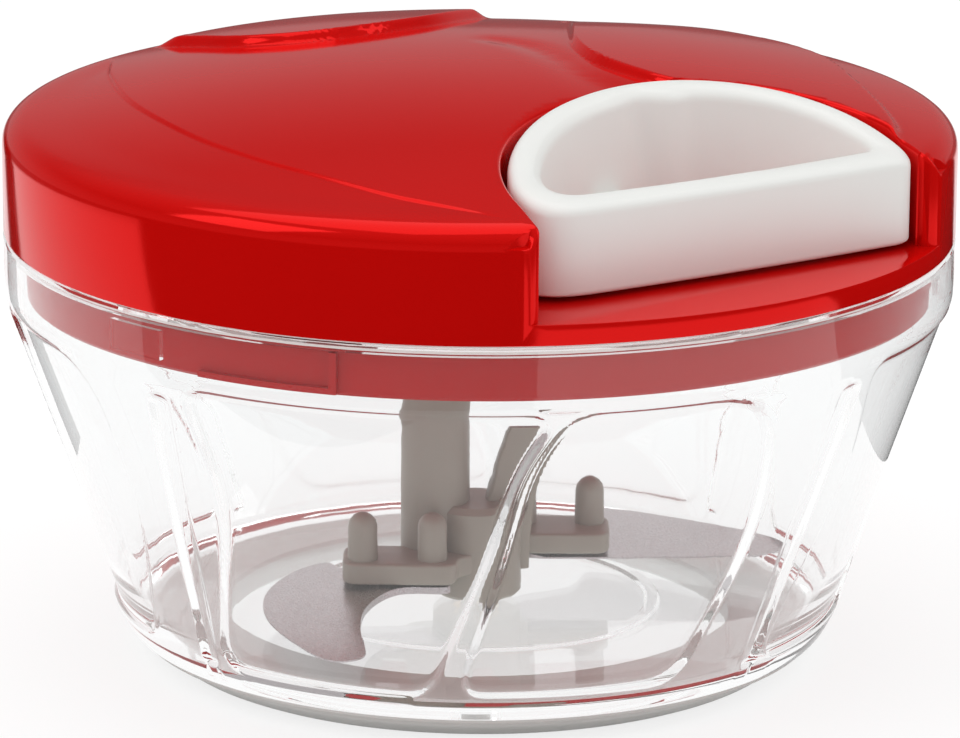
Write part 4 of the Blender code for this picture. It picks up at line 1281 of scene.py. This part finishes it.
def clear_plastic():
    finish = Finish("clear moulded plastic")
    cloud = finish.noise(22.0, 2.0)
    base = finish.between(cloud, rgb(0.955, 0.965, 0.965), rgb(0.975, 0.98, 0.98))
    gloss = 0.012 + finish.noise(6.0, 3.0) * 0.02
    skin = finish.bumped(finish.noise(9.0, 2.0), 0.012)
    glass = finish.shader(Base_Color=base, Roughness=gloss, Normal=skin, Transmission_Weight=1.0, IOR=1.49, Specular_IOR_Level=0.3)
    straight = finish.add("BsdfTransparent")
    bounced = finish.add("LightPath", output="Ray Depth")
    spent = finish.maths("GREATER_THAN", bounced, MOST_BOUNCES + 0.5)
    finish.add("OutputMaterial", {}, {"Surface": finish.add("MixShader", {}, {0: spent, 1: glass, 2: straight})})
    return finish.material


def braided():
    """Polyester cord: two crossing sets of slanting strands, with painted shade in the grooves between them."""
    finish = Finish("braided cord")
    place = finish.add("TexCoord", output="Object")
    strands = []
    for slant in (0.9, -0.9):
        turned_place = finish.add("Mapping", {}, {"Vector": place, "Rotation": (0.0, 0.0, slant)})
        strands.append(finish.add("TexWave", {}, {"Vector": turned_place, "Scale": 520.0}, "Fac"))
    weave = strands[0] * strands[1]
    # Painted shade: the colour darkens where the weave is low, in the grooves between the strands.
    base = finish.between(weave, rgb(0.42, 0.40, 0.37), rgb(0.78, 0.76, 0.72))
    return finish.surface(Base_Color=base, Roughness=0.8 + weave * 0.1, Normal=finish.bumped(weave, 0.12))


def make_finishes():
    red = moulded(
        "red gloss plastic", (0.74, 0.004, 0.003), 0.10, 0.02, 0.003, 1.4, Metallic=0.36, Specular_IOR_Level=0.15
    )
    satin_red = moulded("red satin plastic", (0.42, 0.004, 0.004), 0.35, 0.03, 0.004, 1.0, Specular_IOR_Level=0.2)
    white = moulded("warm white plastic", (0.83, 0.835, 0.81), 0.38, 0.012, 0.006, 0.5)
    taupe = moulded("taupe plastic", (0.315, 0.285, 0.24), 0.42, 0.05, 0.008, 0.5)
    inner = moulded("inner plastic", (0.62, 0.62, 0.60), 0.4)
    rubber = moulded("frosted foot plastic", (0.60, 0.59, 0.57), 0.45, 0.03, 0.01, 0.6)
    seal = moulded("seal silicone", (0.78, 0.78, 0.76), 0.5)
    blades = brushed("ground blade steel", (0.52, 0.48, 0.49), 0.28, (6.0, 0.6, 1.0))
    steel = brushed("turned steel", (0.62, 0.61, 0.60), 0.25, (1.0, 1.0, 8.0))
    brass = brushed("sintered brass", (0.70, 0.52, 0.25), 0.38, (1.0, 1.0, 5.0))
    return {
        "red_plastic": red,
        "satin_red": satin_red,
        "white_plastic": white,
        "taupe_plastic": taupe,
        "inner_plastic": inner,
        "foot_rubber": rubber,
        "silicone": seal,
        "blade_steel": blades,
        "steel": steel,
        "brass": brass,
        "clear_plastic": clear_plastic(),
        "cord": braided(),
    }


NODE_SLOTS = {
    "centre_pin": "steel",
    "hub_bush": "brass",
    "seal_ring": "silicone",
    "cord_guide": "steel",
    "reel_post": "steel",
    "reel_screw": "steel",
    "reel_washer": "steel",
    "cord_anchor": "steel",
    "spring_housing": "inner_plastic",
    "cord_reel": "inner_plastic",
    "recoil_spring": "blade_steel",
    "pull_cord": "cord",
    "cord_winding": "cord",
    "drive_cup": "taupe_plastic",
}


# Stage


def seen_from_camera(right, away):
    """A place given to the photograph's right and away from its camera, in the part's frame."""
    turn = math.radians(CAMERA_AZIMUTH)
    return (right * math.cos(turn) - away * math.sin(turn), right * math.sin(turn) + away * math.cos(turn))


def make_camera():
    lens = bpy.data.cameras.new("camera")
    lens.sensor_fit = "HORIZONTAL"
    lens.sensor_width = SENSOR_WIDTH
    lens.lens = SENSOR_WIDTH * CAMERA_FOCAL_PIXELS / PHOTO_WIDTH
    lens.clip_start = 0.01
    lens.clip_end = 20.0
    camera = bpy.data.objects.new("camera", lens)
    bpy.context.scene.collection.objects.link(camera)
    elevation = math.radians(CAMERA_ELEVATION)
    out = CAMERA_DISTANCE * math.cos(elevation)
    up = CAMERA_DISTANCE * math.sin(elevation)
    aim = Vector((*seen_from_camera(CAMERA_AIM[0], 0.0), CAMERA_AIM[1])) * MM
    place = Vector((*seen_from_camera(CAMERA_AIM[0], -out), CAMERA_AIM[1] + up)) * MM
    looking = (aim - place).to_track_quat("-Z", "Y").to_matrix()
    roll = Matrix.Rotation(math.radians(CAMERA_ROLL), 3, "Z")
    camera.matrix_world = Matrix.Translation(place) @ (looking @ roll).to_4x4()
    bpy.context.scene.camera = camera


def make_world():
    world = bpy.data.worlds.new("studio")
    bpy.context.scene.world = world
    world.use_nodes = True
    nodes = Nodes(world.node_tree)
    seen = nodes.add("LightPath", output="Is Camera Ray")
    through = nodes.add("LightPath", output="Transmission Depth")
    mirrored = nodes.add("LightPath", output="Is Glossy Ray")
    direction = nodes.add("TexCoord", output="Generated")
    up = nodes.add("SeparateXYZ", {}, {"Vector": direction}, "Z")
    stops = [(0.0, rgb(0.3, 0.3, 0.3)), (0.2, rgb(0.26, 0.26, 0.26)), (0.45, rgb(0.12, 0.12, 0.12))]
    stops.append((0.9, rgb(0.35, 0.35, 0.35)))
    sky = nodes.add("ValToRGB", {"stops": stops}, {"Fac": up}, "Color")
    plain = rgb(0.80, 0.80, 0.80)
    lit = nodes.between(mirrored, plain, sky)
    colour = nodes.between(seen.at_least(through * mirrored), lit, rgb(1, 1, 1))
    shade = nodes.add("Background", {}, {"Color": colour, "Strength": 1.0})
    nodes.add("OutputWorld", {}, {"Surface": shade})


def make_floor():
    stand_alone()
    bpy.ops.mesh.primitive_circle_add(vertices=96, radius=4.0, fill_type="NGON", location=(0, 0, -0.0002))
    floor = bpy.context.object
    floor.name = "studio_floor"
    finish = Finish("white floor")
    seen = finish.add("LightPath", output="Is Camera Ray")
    mirrored = finish.add("LightPath", output="Is Glossy Ray")
    deep = finish.add("LightPath", output="Transmission Depth").at_most(1.0)
    watched = seen.at_least(mirrored).at_least(deep)
    place = finish.add("TexCoord", output="Object")
    out = finish.add("VectorMath", {"operation": "LENGTH"}, {0: place}, "Value")
    stops = [(0.0, rgb(1, 1, 1)), (0.40, rgb(1, 1, 1)), (0.55, rgb(0.12, 0.12, 0.12))]
    table = finish.add("ValToRGB", {"stops": stops}, {"Fac": out}, "Color")
    mirror = finish.between(mirrored * (1 - deep), rgb(1, 1, 1), table)
    white = finish.add("Mix", {"data_type": "RGBA", "blend_type": "MULTIPLY"}, {"Factor": 1.0, "A": rgb(0.78, 0.78, 0.78), "B": mirror}, "Result")
    dull = finish.add("Mix", {"data_type": "RGBA", "blend_type": "MULTIPLY"}, {"Factor": 1.0, "A": rgb(0.24, 0.24, 0.24), "B": mirror}, "Result")
    glow = finish.between(watched, rgb(0, 0, 0), white)
    base = finish.between(watched, rgb(0.86, 0.86, 0.86), dull)
    finish.surface(
        Base_Color=base, Roughness=1.0, Specular_IOR_Level=0.0, Emission_Color=glow, Emission_Strength=1.0
    )
    floor.data.materials.append(finish.material)


def make_card(name, outline):
    """A black card on the floor beside the object, which only reflections see. Its corners are as the camera sees them."""
    corners = [seen_from_camera(right, away) for right, away in outline]
    card = plate(name, corners, 1.0, 2.0)
    finish = Finish(name)
    black = finish.add("BsdfDiffuse", {}, {"Color": rgb(0.01, 0.01, 0.01)})
    clear = finish.add("BsdfTransparent")
    inside_bowl = finish.add("LightPath", output="Transmission Depth").at_most(1.0)
    shader = finish.add("MixShader", {}, {0: inside_bowl, 1: black, 2: clear})
    finish.add("OutputMaterial", {}, {"Surface": shader})
    card.data.materials.append(finish.material)
    card.visible_camera = False
    card.visible_diffuse = False
    card.visible_transmission = False
    card.visible_shadow = False


def make_light(name, place, aim, size, power):
    light = bpy.data.lights.new(name, "AREA")
    light.shape = "RECTANGLE"
    light.size, light.size_y = size
    light.energy = power
    lamp = bpy.data.objects.new(name, light)
    bpy.context.scene.collection.objects.link(lamp)
    place, aim = Vector(place), Vector(aim)
    lamp.matrix_world = Matrix.Translation(place) @ (aim - place).to_track_quat("-Z", "Y").to_matrix().to_4x4()
    return lamp


def make_lights():
    middle = (0.0, 0.0, 0.05)
    left = seen_from_camera(-0.75, -0.35)
    right = seen_from_camera(0.8, 0.1)
    make_light("top_softbox", (0.0, 0.15, 1.0), middle, (0.8, 0.8), 2.2)
    make_light("left_softbox", (*left, 0.75), middle, (0.5, 0.6), 1.6)
    make_light("right_softbox", (*right, 0.6), middle, (0.4, 0.6), 1.0)


def hand_over(piece, body, slot, finish, *nodes):
    piece.data.materials.clear()
    piece.data.materials.append(finish)
    if body == "cord_ends":
        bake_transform(piece)
    else:
        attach(piece, body)
    if nodes:
        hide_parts(*nodes)


def on_outer_edge(x, y):
    """The lower blade's long outer edge."""
    return x < -20.0 or y < -36.0


def on_front_edge(x, y):
    """The upper blade's straight edge."""
    return y < 8.5 and x > 8.0


def make_chopper():
    finishes = make_finishes()
    pieces = (
        (make_bowl(), "bowl", "clear_plastic", "bowl"),
        (make_foot(), "bowl", "foot_rubber", "foot_ring"),
        (make_cover(), "lid", "red_plastic", "lid_cover"),
        (make_plug(), "lid", "red_plastic", "lid_base"),
        (make_handle(), "handle", "white_plastic", "pull_handle"),
        (make_cord(), "cord_ends", "cord", "pull_cord"),
        (make_carrier(), "rotor", "taupe_plastic", "blade_carrier"),
        (
            make_blade("lower_blade_ground", LOWER_BLADE, ARM_BOTTOM - BLADE_GAP - BLADE_THICKNESS, on_outer_edge),
            "rotor",
            "blade_steel",
            "lower_blade",
        ),
        (
            make_blade(
                "upper_blade_ground",
                UPPER_BLADE,
                ARM_BOTTOM + RIGHT_ARM_LIFT - BLADE_GAP - BLADE_THICKNESS,
                on_front_edge,
            ),
            "rotor",
            "blade_steel",
            "upper_blade",
        ),
        *make_screws(),
    )
    for piece, body, slot, node in pieces:
        finish = finishes["satin_red"] if node == "lid_base" else finishes[slot]
        hand_over(piece, body, slot, finish, node)
        if slot == "clear_plastic":
            piece.visible_shadow = False
            piece.visible_diffuse = False
    for node, slot in NODE_SLOTS.items():
        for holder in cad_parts[node].material_slots:
            holder.material = finishes[slot]


make_chopper()
make_camera()
make_world()
make_floor()
for name, outline in CARDS.items():
    make_card(name, outline)
make_lights()
bpy.context.scene.view_settings.view_transform = "Standard"
